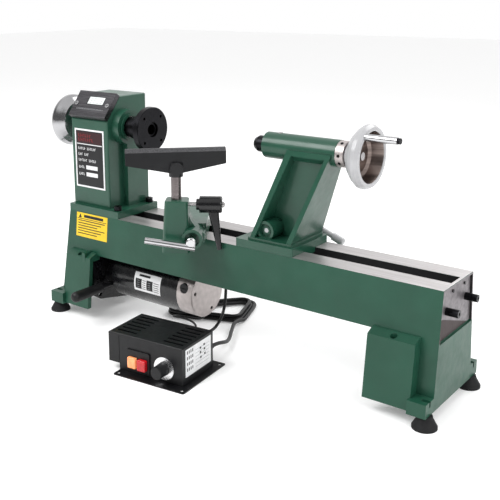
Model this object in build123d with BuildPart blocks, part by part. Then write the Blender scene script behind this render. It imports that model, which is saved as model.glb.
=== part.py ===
from build123d import *
import math
import os

# Bench wood lathe, 12 inch swing and 18 inches between centres, with its speed control box and leads.
# Millimetres. +X runs along the bed from headstock to tailstock, -Y faces the operator, +Z is up, and
# the origin is the middle of the four feet on the bench top.

# ---------------------------------------------------------------- driving dimensions
SWING_RADIUS = 152.4
BED_TOP = 184.0
BED_HALF = 50.8
BED_RIGHT = 359.5
BED_LEFT = -344.5
BED_UNDER = 112.0
LEG_BOTTOM = 20.0
DRAFT = 0.089
WALL = 7.0
WAY_THICK = 12.0
SLOT_HALF = 15.2
FOOT_X = 353.5
FOOT_Y = 76.0
FOOT_HEIGHT = 18.0
SPINDLE_Z = BED_TOP + SWING_RADIUS

HEAD_X0 = -344.5
HEAD_X1 = -255.5
HEAD_FRONT = -40.0
HEAD_BACK = 58.0
HEAD_FLANGE_TOP = BED_TOP + 12.0
HEAD_SLOPE_Z = 347.0
HEAD_TOP = 389.0
HEAD_SLOPE_Y = -7.0
SPINDLE_R = 12.7
FACEPLATE_R = 38.1
FACEPLATE_X = -187.5
BEARING_R = 26.0

MOTOR_R = 42.0
MOTOR_Z = 72.0
MOTOR_X0 = -249.5
MOTOR_X1 = -72.0
PULLEY_X = -318.0
MOTOR_TILT_Y = -47.0
MOTOR_TILT_Z = 68.0

BANJO_X = -62.0
BANJO_Y = -88.0
BANJO_TURN = 34.0
BANJO_TOP = 252.0
POST_R = 7.9
REST_TURN = 45.0
REST_TOP = 331.0
REST_LENGTH = 154.0

TAIL_BASE_X0 = 24.0
TAIL_BASE_X1 = 126.0
BARREL_X0 = 48.5
BARREL_X1 = 174.0
BARREL_R = 20.0
QUILL_R = 12.7
COLLAR_X1 = 187.0
WHEEL_R = 46.0
WHEEL_X = 224.0

BOX_TURN = 6.0
BOX_W = 135.0
BOX_D = 84.0
BOX_H = 60.0
BOX_FRONT_X = 26.0
BOX_FRONT_Y = -183.5

GAP = 0.3
FIT = 0.05

os.makedirs("parts", exist_ok=True)


def bed_half(height):
    """Half width of the drafted casting at a height."""
    return BED_HALF + DRAFT * (BED_TOP - height)


def save(node, name):
    """Label one finished piece and write its STEP file."""
    node.part.label = name
    export_step(node.part, f"parts/{name}.step")


def along_x(x, y=0.0, z=0.0):
    """Plane across the X axis, with its local x along +Y and local y along +Z."""
    return Plane(origin=(x, y, z), x_dir=(0, 1, 0), z_dir=(1, 0, 0))


def lathe_profile(points, x=0.0, z=SPINDLE_Z, y=0.0):
    """Solid of revolution about an X-parallel axis from (distance along X, radius) points."""
    with BuildPart() as turned:
        with BuildSketch(Plane(origin=(x, y, z), x_dir=(1, 0, 0), z_dir=(0, -1, 0))):
            with BuildLine():
                Polyline(*points, close=True)
            make_face()
        revolve(axis=Axis((x, y, z), (1, 0, 0)))
    return turned.part


def socket_screw(thread_r, length, head_r, head_h):
    """Socket-head screw standing on its thread: head above z = 0, thread below."""
    with BuildPart() as screw:
        with BuildSketch(Plane.XY):
            Circle(head_r)
        extrude(amount=head_h)
        with BuildSketch(Plane.XY.offset(head_h)):
            RegularPolygon(head_r * 0.5, 6)
        extrude(amount=-head_h * 0.6, mode=Mode.SUBTRACT)
        with BuildSketch(Plane.XY):
            Circle(thread_r)
        extrude(amount=-length)
    return screw.part


# ---------------------------------------------------------------- bed casting
LEG_R_IN = 264.0
LEG_L_IN = -274.0
LEG_L_FOOT = -358.5
BLOCK_TOP = 116.0
BLOCK_RIM = 110.0
LUG_TOP = 38.0
LUG_BOTTOM = FOOT_HEIGHT
BLOCK_R_OUT = 334.0
BLOCK_L_OUT = -334.0
BELT_WINDOW = (-336.0, -300.0)
FRONT_BOLT = (-236.0, -40.0)
HEAD_BOLTS = ((-236.0, 40.0), (-280.0, -24.0), (-280.0, 40.0))
END_WEB_X = 349.5
SLOT_END_X = 354.5

with BuildPart() as bed_casting:
    with BuildSketch(Plane.XZ):
        with BuildLine():
            Polyline(
                (BED_LEFT, BED_TOP), (BED_RIGHT, BED_TOP), (BED_RIGHT, LEG_BOTTOM), (LEG_R_IN, LEG_BOTTOM),
                (LEG_R_IN, BED_UNDER), (LEG_L_IN, BED_UNDER), (LEG_L_IN, LEG_BOTTOM),
                (LEG_L_FOOT, LEG_BOTTOM), close=True,
            )
        make_face()
    extrude(amount=100, both=True)
    with BuildSketch(along_x(LEG_L_FOOT - 5)):
        with BuildLine():
            Polyline(
                (-bed_half(LEG_BOTTOM), LEG_BOTTOM), (-BED_HALF, BED_TOP), (BED_HALF, BED_TOP),
                (bed_half(LEG_BOTTOM), LEG_BOTTOM), close=True,
            )
        make_face()
    extrude(amount=BED_RIGHT - LEG_L_FOOT + 10, mode=Mode.INTERSECT)
    fillet(bed_casting.edges().filter_by(Axis.Y).sort_by(Axis.Z)[-1], 1.0)
    for block_x0, block_x1 in ((LEG_R_IN, BLOCK_R_OUT), (BLOCK_L_OUT, LEG_L_IN)):
        with BuildSketch(along_x(block_x0)):
            with BuildLine():
                Polyline(
                    (-60, BLOCK_TOP), (-74, BLOCK_RIM), (-84, LEG_BOTTOM), (84, LEG_BOTTOM),
                    (74, BLOCK_RIM), (60, BLOCK_TOP), close=True,
                )
            make_face()
        extrude(amount=block_x1 - block_x0)
    for lug_x0, lug_x1 in ((BLOCK_R_OUT - 2, BED_RIGHT), (LEG_L_FOOT - 4, BLOCK_L_OUT + 2)):
        with BuildSketch(Plane.XY.offset(LUG_BOTTOM)):
            with Locations(((lug_x0 + lug_x1) / 2, 0)):
                Rectangle(lug_x1 - lug_x0, 178)
        extrude(amount=LUG_TOP - LUG_BOTTOM)
    # hollow under the ways, open at the bottom of both legs and to the middle
    with BuildSketch(along_x(BED_LEFT + WALL)):
        with BuildLine():
            Polyline(
                (-BED_HALF + WALL, BED_TOP - WAY_THICK), (BED_HALF - WALL, BED_TOP - WAY_THICK),
                (bed_half(0) - WALL, 0), (-bed_half(0) + WALL, 0), close=True,
            )
        make_face()
    extrude(amount=END_WEB_X - BED_LEFT - WALL, mode=Mode.SUBTRACT)
    for block_x0, block_x1 in ((LEG_R_IN - 1, BLOCK_R_OUT - WALL), (BLOCK_L_OUT + WALL, LEG_L_IN + 1)):
        with BuildSketch(along_x(block_x0)):
            with BuildLine():
                Polyline(
                    (-67, BLOCK_RIM - WALL), (-78, 0), (78, 0), (67, BLOCK_RIM - WALL), close=True,
                )
            make_face()
        extrude(amount=block_x1 - block_x0, mode=Mode.SUBTRACT)
    # slot between the ways, and the belt window under the headstock
    with BuildSketch(Plane.XY.offset(BED_TOP + 1)):
        with Locations(((HEAD_X1 + 10 + SLOT_END_X) / 2, 0)):
            Rectangle(SLOT_END_X - HEAD_X1 - 10, 2 * SLOT_HALF)
        with Locations(((BELT_WINDOW[0] + BELT_WINDOW[1]) / 2, 0)):
            Rectangle(BELT_WINDOW[1] - BELT_WINDOW[0], 76)
    extrude(amount=-WAY_THICK - 3, mode=Mode.SUBTRACT)
    with BuildSketch(Plane.XY.offset(BED_TOP)):
        with Locations(FRONT_BOLT, *HEAD_BOLTS):
            Circle(4.0)
    extrude(amount=-WAY_THICK - 3, mode=Mode.SUBTRACT)
    # recessed machined face of the end web
    with BuildSketch(along_x(BED_RIGHT + 1)):
        with BuildLine():
            Polyline(
                (-BED_HALF + 3, BED_TOP - 3), (BED_HALF - 3, BED_TOP - 3),
                (bed_half(BED_UNDER) - 3, BED_UNDER - 2), (-bed_half(BED_UNDER) + 3, BED_UNDER - 2),
                close=True,
            )
        make_face()
    extrude(amount=-4, mode=Mode.SUBTRACT)
    # end web holes, stop screw holes, leg shelf holes, slotted foot holes
    with BuildSketch(along_x(BED_RIGHT)):
        with Locations((26.7, 173.5), (-13.8, 173.5)):
            Circle(2.2)
        with Locations((34.0, 152.0), (-32.0, 150.0)):
            Circle(3.0 + FIT)
    extrude(amount=-20, mode=Mode.SUBTRACT)
    with BuildSketch(Plane.XY.offset(BLOCK_TOP + 2)):
        with Locations((300, -67.5), (300, 67.5), (-304, -67.5), (-304, 67.5)):
            Circle(5.0)
    extrude(amount=-20, mode=Mode.SUBTRACT)
    with BuildSketch(Plane.XY.offset(LUG_TOP)):
        with GridLocations(2 * FOOT_X, 2 * FOOT_Y, 2, 2):
            SlotOverall(13, 6.5)
    extrude(amount=-8, mode=Mode.SUBTRACT)
    with BuildSketch(Plane.XY.offset(LUG_TOP)):
        with GridLocations(2 * FOOT_X, 2 * FOOT_Y, 2, 2):
            Circle(3.0 + FIT)
    extrude(amount=-40, mode=Mode.SUBTRACT)
    # threaded and clearance holes for the motor plate's pivot and lock in the left leg's bracket
    with BuildSketch(along_x(LEG_L_IN - 19, 0, 0)):
        with Locations((0, 112)):
            Rectangle(108, 16)
        with Locations((MOTOR_TILT_Y - 6, MOTOR_TILT_Z + 12)):
            Rectangle(44, 76)
    extrude(amount=7)
    with BuildSketch(along_x(LEG_L_IN - 19, 0, 0)):
        with Locations((MOTOR_TILT_Y, MOTOR_TILT_Z)):
            Circle(5.0 + FIT)
    extrude(amount=7, mode=Mode.SUBTRACT)
    # access opening for the lower pulley in the left end wall
    with BuildSketch(along_x(LEG_L_FOOT - 10)):
        with Locations((0, 86)):
            RectangleRounded(62, 76, 12)
    extrude(amount=24, mode=Mode.SUBTRACT)
save(bed_casting, "bed_casting")


# ---------------------------------------------------------------- feet and bed fasteners
foot_shape = lathe_profile((
    (0, 0), (0, 17.3), (3, 17.3), (FOOT_HEIGHT - 4, 11), (FOOT_HEIGHT, 10), (FOOT_HEIGHT, 0),
), z=0)
foot_upright = foot_shape.rotate(Axis.Y, -90)
with BuildPart() as rubber_feet:
    with GridLocations(2 * FOOT_X, 2 * FOOT_Y, 2, 2):
        add(foot_upright)
save(rubber_feet, "rubber_feet")

STOP_SCREWS = ((34.0, 152.0), (-32.0, 150.0))
with BuildPart() as bed_stop_screws:
    with BuildSketch(along_x(BED_RIGHT - 3)):
        with Locations(*STOP_SCREWS):
            Circle(5.5)
    extrude(amount=18)
    with BuildSketch(along_x(BED_RIGHT + 15)):
        with Locations(*STOP_SCREWS):
            RegularPolygon(2.6, 6)
    extrude(amount=-5, mode=Mode.SUBTRACT)
    with BuildSketch(along_x(BED_RIGHT - 3)):
        with Locations(*STOP_SCREWS):
            Circle(3.0)
    extrude(amount=-10)
save(bed_stop_screws, "bed_stop_screws")

# ---------------------------------------------------------------- left end cover on its hinge
END_LEAN = (BED_LEFT - LEG_L_FOOT) / (BED_TOP - LEG_BOTTOM)
COVER_Z = 86.0
COVER_X = LEG_L_FOOT + END_LEAN * (COVER_Z - LEG_BOTTOM)
cover_plane = Plane(origin=(COVER_X, 0, COVER_Z), x_dir=(0, -1, 0), z_dir=(-1, 0, END_LEAN))
COVER_HALF = 42.0
COVER_HEIGHT = 92.0
HINGE_U = -COVER_HALF - 8.0
HINGE_N = 5.0
PIN_R = 2.5


def hinge_plane(v):
    """Plane across the cover's hinge pin, local +Y towards the wall, at a height along the cover."""
    centre = cover_plane.from_local_coords((HINGE_U, v, HINGE_N))
    return Plane(origin=centre, x_dir=cover_plane.x_dir, z_dir=cover_plane.y_dir)


with BuildPart() as end_cover:
    with BuildSketch(cover_plane.offset(GAP)):
        RectangleRounded(2 * COVER_HALF, COVER_HEIGHT, 8)
    extrude(amount=8)
    with BuildSketch(cover_plane.offset(GAP)):
        RectangleRounded(2 * COVER_HALF - 6, COVER_HEIGHT - 6, 6)
    extrude(amount=6, mode=Mode.SUBTRACT)
    for knuckle_v in (-36, 28):
        with BuildSketch(hinge_plane(knuckle_v)):
            Circle(4.2)
            with Locations((5, -2.3)):
                Rectangle(10, 2)
        extrude(amount=8)
        with BuildSketch(hinge_plane(knuckle_v)):
            Circle(PIN_R + FIT)
        extrude(amount=8, mode=Mode.SUBTRACT)
save(end_cover, "end_cover")

with BuildPart() as cover_hinges:
    for bracket_v in (-27, 19):
        with BuildSketch(hinge_plane(bracket_v)):
            with Locations((0, HINGE_N / 2)):
                Rectangle(9, HINGE_N)
            Circle(4.5)
        extrude(amount=8)
    for pin_v in (-36.5, 18.5):
        with BuildSketch(hinge_plane(pin_v)):
            Circle(PIN_R)
        extrude(amount=18)
save(cover_hinges, "cover_hinges")

with BuildPart() as cover_latch:
    with BuildSketch(cover_plane.offset(GAP + 8)):
        with Locations((COVER_HALF - 8, -22)):
            Circle(7)
    extrude(amount=12)
    with BuildSketch(cover_plane.offset(GAP + 20)):
        with Locations((COVER_HALF - 8, -26)):
            Rectangle(5, 22)
    extrude(amount=4)
save(cover_latch, "cover_latch")

# ---------------------------------------------------------------- headstock
BOSS_X = -240.5
with BuildPart() as headstock_casting:
    with BuildSketch(along_x(HEAD_X0)):
        with BuildLine():
            Polyline(
                (HEAD_FRONT, BED_TOP + 2), (HEAD_FRONT, HEAD_SLOPE_Z), (HEAD_SLOPE_Y, HEAD_TOP),
                (HEAD_BACK, HEAD_TOP), (HEAD_BACK, BED_TOP + 2), close=True,
            )
        make_face()
    extrude(amount=HEAD_X1 - HEAD_X0)
    fillet(headstock_casting.edges().filter_by(Axis.Z), 3.0)
    fillet(headstock_casting.edges().filter_by(Axis.X).group_by(Axis.Z)[-1], 2.0)
    with BuildSketch(Plane.XY.offset(BED_TOP)):
        with Locations(((HEAD_X0 - 226) / 2, 0)):
            Rectangle(-226 - HEAD_X0, 2 * BED_HALF)
    extrude(amount=12)
    with BuildSketch(Plane.XY.offset(BED_TOP + 2)):
        with Locations(((HEAD_X1 - 244.5) / 2 - 1, 22)):
            Rectangle(13, 52)
    extrude(amount=128)
    with BuildSketch(along_x(HEAD_X1 - 2)):
        with Locations((0, SPINDLE_Z)):
            Circle(31)
    extrude(amount=BOSS_X - HEAD_X1 + 2, taper=4)
    with BuildSketch(along_x(HEAD_X0 - 8)):
        with Locations((0, SPINDLE_Z)):
            Circle(29)
    extrude(amount=10)
    with BuildSketch(along_x(HEAD_X0 + WALL)):
        with BuildLine():
            Polyline(
                (HEAD_FRONT + WALL, BED_TOP), (HEAD_FRONT + WALL, HEAD_SLOPE_Z),
                (HEAD_SLOPE_Y + 1.5, HEAD_TOP - WALL), (HEAD_BACK - WALL, HEAD_TOP - WALL),
                (HEAD_BACK - WALL, BED_TOP), close=True,
            )
        make_face()
    extrude(amount=HEAD_X1 - HEAD_X0 - 2 * WALL, mode=Mode.SUBTRACT)
    with BuildSketch(Plane.XY.offset(BED_TOP)):
        with Locations((-280, 5)):
            Rectangle(36, 86)
    extrude(amount=HEAD_FLANGE_TOP - BED_TOP)
    with BuildSketch(along_x(HEAD_X0 - 20)):
        with Locations((0, SPINDLE_Z)):
            Circle(15)
    extrude(amount=150, mode=Mode.SUBTRACT)
    for bore_x0, bore_x1 in ((-255.0, BOSS_X + 1), (HEAD_X0 - 9, -338.5)):
        with BuildSketch(along_x(bore_x0)):
            with Locations((0, SPINDLE_Z)):
                Circle(23.5)
        extrude(amount=bore_x1 - bore_x0, mode=Mode.SUBTRACT)
    # belt access window in the back, mounting holes in the flange
    with BuildSketch(Plane.XZ.offset(-HEAD_BACK - 1)):
        with Locations((-300, 290)):
            RectangleRounded(60, 120, 8)
    extrude(amount=WALL + 2, mode=Mode.SUBTRACT)
    with BuildSketch(Plane.XY.offset(BED_TOP + 14)):
        with Locations(FRONT_BOLT, *HEAD_BOLTS):
            Circle(4.2)
    extrude(amount=-16, mode=Mode.SUBTRACT)
save(headstock_casting, "headstock_casting")

head_bolt = socket_screw(4.0, 26, 6.5, 8)
with BuildPart() as headstock_bolts:
    with Locations(*[(x, y, HEAD_FLANGE_TOP) for x, y in (FRONT_BOLT, *HEAD_BOLTS)]):
        add(head_bolt)
save(headstock_bolts, "headstock_bolts")

with BuildPart() as headstock_back_door:
    with BuildSketch(Plane.XZ.offset(-HEAD_BACK - GAP)):
        with Locations((-300, 290)):
            RectangleRounded(72, 132, 8)
    extrude(amount=-2)
    with BuildSketch(Plane.XZ.offset(-HEAD_BACK - GAP - 2)):
        with Locations((-272, 290)):
            Circle(7)
    extrude(amount=-9)
save(headstock_back_door, "headstock_back_door")

with BuildPart() as nameplate:
    with BuildSketch(Plane.XZ.offset(-HEAD_FRONT)):
        with Locations((-300.5, 279)):
            Rectangle(71, 104)
    extrude(amount=0.4)
save(nameplate, "nameplate")

# display case on the sloped front edge of the headstock
SLOPE_RUN = HEAD_SLOPE_Y - HEAD_FRONT
SLOPE_RISE = HEAD_TOP - HEAD_SLOPE_Z
slope_plane = Plane(
    origin=((HEAD_X0 + HEAD_X1) / 2, (HEAD_FRONT + HEAD_SLOPE_Y) / 2, (HEAD_SLOPE_Z + HEAD_TOP) / 2),
    x_dir=(1, 0, 0), z_dir=(0, -SLOPE_RISE, SLOPE_RUN),
)
with BuildPart() as display_case:
    with BuildSketch(slope_plane.offset(0.1)):
        with Locations((0, 1)):
            Rectangle(88, 51)
    extrude(amount=9.5)
    fillet(display_case.edges().filter_by(Axis.X).sort_by(Axis.Z)[-1], 1.0)
    with BuildSketch(slope_plane.offset(9.6)):
        with Locations((6, 8)):
            Rectangle(38, 15)
    extrude(amount=-1.2, mode=Mode.SUBTRACT)
save(display_case, "display_case")

with BuildPart() as display_window:
    with BuildSketch(slope_plane.offset(8.4)):
        with Locations((6, 8)):
            Rectangle(37.6, 14.6)
    extrude(amount=0.9)
save(display_window, "display_window")

# spindle line
FRONT_BEARING = (-255.0, -243.0)
REAR_BEARING = (-350.5, -338.5)
with BuildPart() as spindle_bearings:
    for race_x0, race_x1 in (FRONT_BEARING, REAR_BEARING):
        with BuildSketch(along_x(race_x0)):
            with Locations((0, SPINDLE_Z)):
                Circle(23.5)
                Circle(12.5 + FIT, mode=Mode.SUBTRACT)
        extrude(amount=race_x1 - race_x0)
save(spindle_bearings, "spindle_bearings")

with BuildPart() as bearing_cap:
    with BuildSketch(along_x(FRONT_BEARING[1])):
        with Locations((0, SPINDLE_Z)):
            Circle(23.3)
            Circle(18.5, mode=Mode.SUBTRACT)
    extrude(amount=6.0)
save(bearing_cap, "bearing_cap")

SPINDLE_NOSE = -191.0
SPINDLE_TAIL = -372.0
spindle_solid = lathe_profile((
    (SPINDLE_TAIL, 4.9), (SPINDLE_TAIL, 10), (-353, 10), (-353, 12.5), (-242.5, 12.5), (-242.5, 17),
    (-226, 17), (-226, 12.7), (SPINDLE_NOSE - 1.5, 12.7), (SPINDLE_NOSE, 11.2), (SPINDLE_NOSE, 8.9),
    (SPINDLE_NOSE - 64, 7.2), (SPINDLE_NOSE - 64, 4.9),
))
with BuildPart() as spindle:
    add(spindle_solid)
save(spindle, "spindle")

SPINDLE_PULLEY_BIG = 29.0
SPINDLE_PULLEY_SMALL = 19.0
MOTOR_PULLEY_SMALL = 16.0
MOTOR_PULLEY_BIG = 26.0


def stepped_pulley(first_r, second_r, bore_r, z):
    """Two-step pulley with flanges, its first step on the headstock side of the belt pair."""
    x0 = PULLEY_X - 14
    middle_r = max(first_r, second_r) + 2
    return lathe_profile((
        (x0, bore_r), (x0, first_r + 2), (x0 + 1.5, first_r + 2), (x0 + 1.5, first_r),
        (x0 + 12.5, first_r), (x0 + 12.5, middle_r), (x0 + 14.5, middle_r),
        (x0 + 14.5, second_r), (x0 + 25.5, second_r), (x0 + 25.5, second_r + 2), (x0 + 27, second_r + 2),
        (x0 + 27, bore_r),
    ), z=z)


with BuildPart() as spindle_pulley:
    add(stepped_pulley(SPINDLE_PULLEY_BIG, SPINDLE_PULLEY_SMALL, 12.5, SPINDLE_Z))
save(spindle_pulley, "spindle_pulley")

BELT_X0 = PULLEY_X - 11.5
BELT_WIDTH = 9.0
BELT_THICK = 2.6


def belt_loop(clear):
    """Outline of a belt round both pulleys at a clearance, as a closed hull face."""
    with BuildSketch(along_x(BELT_X0)) as loop:
        with Locations((0, SPINDLE_Z)):
            Circle(SPINDLE_PULLEY_BIG + clear)
        with Locations((0, MOTOR_Z)):
            Circle(MOTOR_PULLEY_SMALL + clear)
        make_hull()
    return loop.sketch


with BuildPart() as drive_belt:
    extrude(belt_loop(GAP + BELT_THICK), amount=BELT_WIDTH)
    extrude(belt_loop(GAP), amount=BELT_WIDTH, mode=Mode.SUBTRACT)
save(drive_belt, "drive_belt")

faceplate_solid = lathe_profile((
    (-225.5, 12.7), (-225.5, 20), (FACEPLATE_X - 12, 20), (FACEPLATE_X - 12, FACEPLATE_R - 1),
    (FACEPLATE_X - 11, FACEPLATE_R), (FACEPLATE_X - 1, FACEPLATE_R), (FACEPLATE_X, FACEPLATE_R - 1),
    (FACEPLATE_X, 12.7),
))
FACEPLATE_PCD = 58.0
with BuildPart() as faceplate:
    add(faceplate_solid)
    with BuildSketch(along_x(FACEPLATE_X)):
        with Locations((0, SPINDLE_Z)):
            with PolarLocations(FACEPLATE_PCD / 2, 4, start_angle=45):
                Circle(2.6)
    extrude(amount=-13, mode=Mode.SUBTRACT)
save(faceplate, "faceplate")


def handwheel_profile(hub, bore_r):
    """Dished handwheel: (distance from hub face, radius) outline that opens away from the hub."""
    return (
        (hub, bore_r), (hub, 16), (hub + 4.5, 19), (hub + 12.5, 34), (hub + 20, 42), (hub + 26, WHEEL_R),
        (hub + 31.5, WHEEL_R), (hub + 36.5, WHEEL_R - 3), (hub + 36.5, 37.5), (hub + 33, 36), (hub + 19, 31),
        (hub + 15.5, 26), (hub + 15.5, bore_r),
    )


OUTBOARD_HUB = -355.5
with BuildPart() as outboard_handwheel:
    outboard_points = [(2 * OUTBOARD_HUB - x, r) for x, r in handwheel_profile(OUTBOARD_HUB, 10.0)]
    add(lathe_profile(outboard_points))
save(outboard_handwheel, "outboard_handwheel")

# ---------------------------------------------------------------- motor
PLATE_X = LEG_L_IN - 12 + GAP
PLATE_THICK = 6.0
BRUSH_X = -90.0
BRUSH_Z = MOTOR_Z + 14.0
with BuildPart() as motor_plate:
    with BuildSketch(along_x(PLATE_X)):
        with BuildLine():
            Polyline(
                (-46, 108), (-46, 102.5), (-62, 102.5), (-60, 36), (-46, 27), (24, 13), (40, 16),
                (46, 40), (46, 108), close=True,
            )
        make_face()
        with Locations((0, MOTOR_Z)):
            Circle(14, mode=Mode.SUBTRACT)
        with Locations((MOTOR_TILT_Y, MOTOR_TILT_Z)):
            Circle(5.0 + FIT, mode=Mode.SUBTRACT)
        with Locations(Location((-46, 41), 82)):
            SlotOverall(18, 8, mode=Mode.SUBTRACT)
    extrude(amount=PLATE_THICK)
save(motor_plate, "motor_plate")

FLANGE_X0 = PLATE_X + PLATE_THICK
FRONT_BELL_R = 32.0
HANDLE_X = -263.0
HANDLE_Z = 56.0
HANDLE_R = 9.5
with BuildPart() as motor_front_bell:
    with BuildSketch(along_x(FLANGE_X0)):
        with Locations((0, MOTOR_Z)):
            Circle(FRONT_BELL_R)
    extrude(amount=MOTOR_X0 - FLANGE_X0)
    with BuildSketch(along_x(MOTOR_X0)):
        with Locations((0, MOTOR_Z)):
            Circle(MOTOR_R)
    extrude(amount=-4)
    with BuildSketch(along_x(FLANGE_X0)):
        with Locations((0, MOTOR_Z)):
            Circle(FRONT_BELL_R - 5)
    extrude(amount=MOTOR_X0 - FLANGE_X0 - 5, mode=Mode.SUBTRACT)
    with BuildSketch(Plane(origin=(HANDLE_X, 0, HANDLE_Z), x_dir=(1, 0, 0), z_dir=(0, -1, 0))):
        Circle(4.0)
    extrude(amount=40, mode=Mode.SUBTRACT)
    with BuildSketch(along_x(FLANGE_X0)):
        with Locations((0, MOTOR_Z)):
            Circle(7.5 + FIT)
    extrude(amount=40, mode=Mode.SUBTRACT)
save(motor_front_bell, "motor_front_bell")

BELL_X = -104.5
with BuildPart() as motor_can:
    with BuildSketch(along_x(MOTOR_X0)):
        with Locations((0, MOTOR_Z)):
            Circle(MOTOR_R)
            Circle(MOTOR_R - 4, mode=Mode.SUBTRACT)
    extrude(amount=BELL_X - MOTOR_X0)
save(motor_can, "motor_can")

LEAD_HOLE_R = 7.5
LEAD_HOLE = (-88.0, 14.0)
with BuildPart() as motor_end_bell:
    with BuildSketch(along_x(BELL_X)):
        with Locations((0, MOTOR_Z)):
            Circle(MOTOR_R)
    extrude(amount=MOTOR_X1 - BELL_X)
    chamfer(motor_end_bell.edges().filter_by(GeomType.CIRCLE).sort_by(Axis.X)[-1], 1.5)
    with BuildSketch(along_x(BELL_X)):
        with Locations((0, MOTOR_Z)):
            Circle(MOTOR_R - 4)
    extrude(amount=MOTOR_X1 - BELL_X - 5, mode=Mode.SUBTRACT)
    with BuildSketch(along_x(BELL_X + 6)):
        with Locations((0, MOTOR_Z)):
            Circle(10)
            Circle(6 + FIT, mode=Mode.SUBTRACT)
    extrude(amount=MOTOR_X1 - BELL_X - 10)
    for side in (-1, 1):
        with BuildSketch(Plane(origin=(BRUSH_X, side * 30, BRUSH_Z), x_dir=(1, 0, 0), z_dir=(0, side, 0))):
            Circle(8.4)
        extrude(amount=20, mode=Mode.SUBTRACT)
    with BuildSketch(Plane.XY.offset(20)):
        with Locations(LEAD_HOLE):
            Circle(LEAD_HOLE_R)
    extrude(amount=24, mode=Mode.SUBTRACT)
    with BuildSketch(along_x(MOTOR_X1)):
        with Locations((0, MOTOR_Z)):
            with PolarLocations(33, 3, start_angle=50):
                Circle(3.0)
    extrude(amount=-6, mode=Mode.SUBTRACT)
save(motor_end_bell, "motor_end_bell")

with BuildPart() as brush_caps:
    for side in (-1, 1):
        cap_plane = Plane(origin=(BRUSH_X, side * 31, BRUSH_Z), x_dir=(1, 0, 0), z_dir=(0, side, 0))
        with BuildSketch(cap_plane):
            Circle(8.4)
        extrude(amount=9)
        with BuildSketch(cap_plane.offset(9)):
            Rectangle(12, 1.6)
        extrude(amount=-1.5, mode=Mode.SUBTRACT)
save(brush_caps, "brush_caps")

with BuildPart() as motor_rotor:
    add(lathe_profile((
        (PULLEY_X - 18, 0), (PULLEY_X - 18, 7.5), (MOTOR_X0 + 18, 7.5), (MOTOR_X0 + 22, 30),
        (MOTOR_X0 + 118, 30), (MOTOR_X0 + 122, 7.5), (BELL_X + 4, 7.5), (BELL_X + 4, 6),
        (MOTOR_X1 - 7, 6), (MOTOR_X1 - 7, 0),
    ), z=MOTOR_Z))
save(motor_rotor, "motor_rotor")

with BuildPart() as motor_pulley:
    add(stepped_pulley(MOTOR_PULLEY_SMALL, MOTOR_PULLEY_BIG, 7.5, MOTOR_Z))
save(motor_pulley, "motor_pulley")

PIVOT_HEAD_X = PLATE_X + PLATE_THICK + GAP
with BuildPart() as motor_pivot_bolt:
    with BuildSketch(along_x(LEG_L_IN - 32)):
        with Locations((MOTOR_TILT_Y, MOTOR_TILT_Z)):
            Circle(5.0)
    extrude(amount=PIVOT_HEAD_X - LEG_L_IN + 32)
    with BuildSketch(along_x(PIVOT_HEAD_X)):
        with Locations((MOTOR_TILT_Y, MOTOR_TILT_Z)):
            Circle(8.5)
    extrude(amount=4)
    with BuildSketch(along_x(PIVOT_HEAD_X + 4)):
        with Locations((MOTOR_TILT_Y, MOTOR_TILT_Z)):
            RegularPolygon(4.4, 6)
    extrude(amount=-3, mode=Mode.SUBTRACT)
save(motor_pivot_bolt, "motor_pivot_bolt")

# lifting handle screwed into the front bell, towards the operator
with BuildPart() as tension_handle:
    with BuildSketch(Plane(origin=(HANDLE_X, -62, HANDLE_Z), x_dir=(1, 0, 0), z_dir=(0, -1, 0))):
        Circle(HANDLE_R - 1)
    extrude(amount=66, taper=-0.8)
    fillet(tension_handle.edges().filter_by(GeomType.CIRCLE).sort_by(Axis.Y)[0], 8.0)
    with BuildSketch(Plane(origin=(HANDLE_X, -62, HANDLE_Z), x_dir=(1, 0, 0), z_dir=(0, -1, 0))):
        Circle(4.0)
    extrude(amount=-40)
save(tension_handle, "tension_handle")

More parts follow.
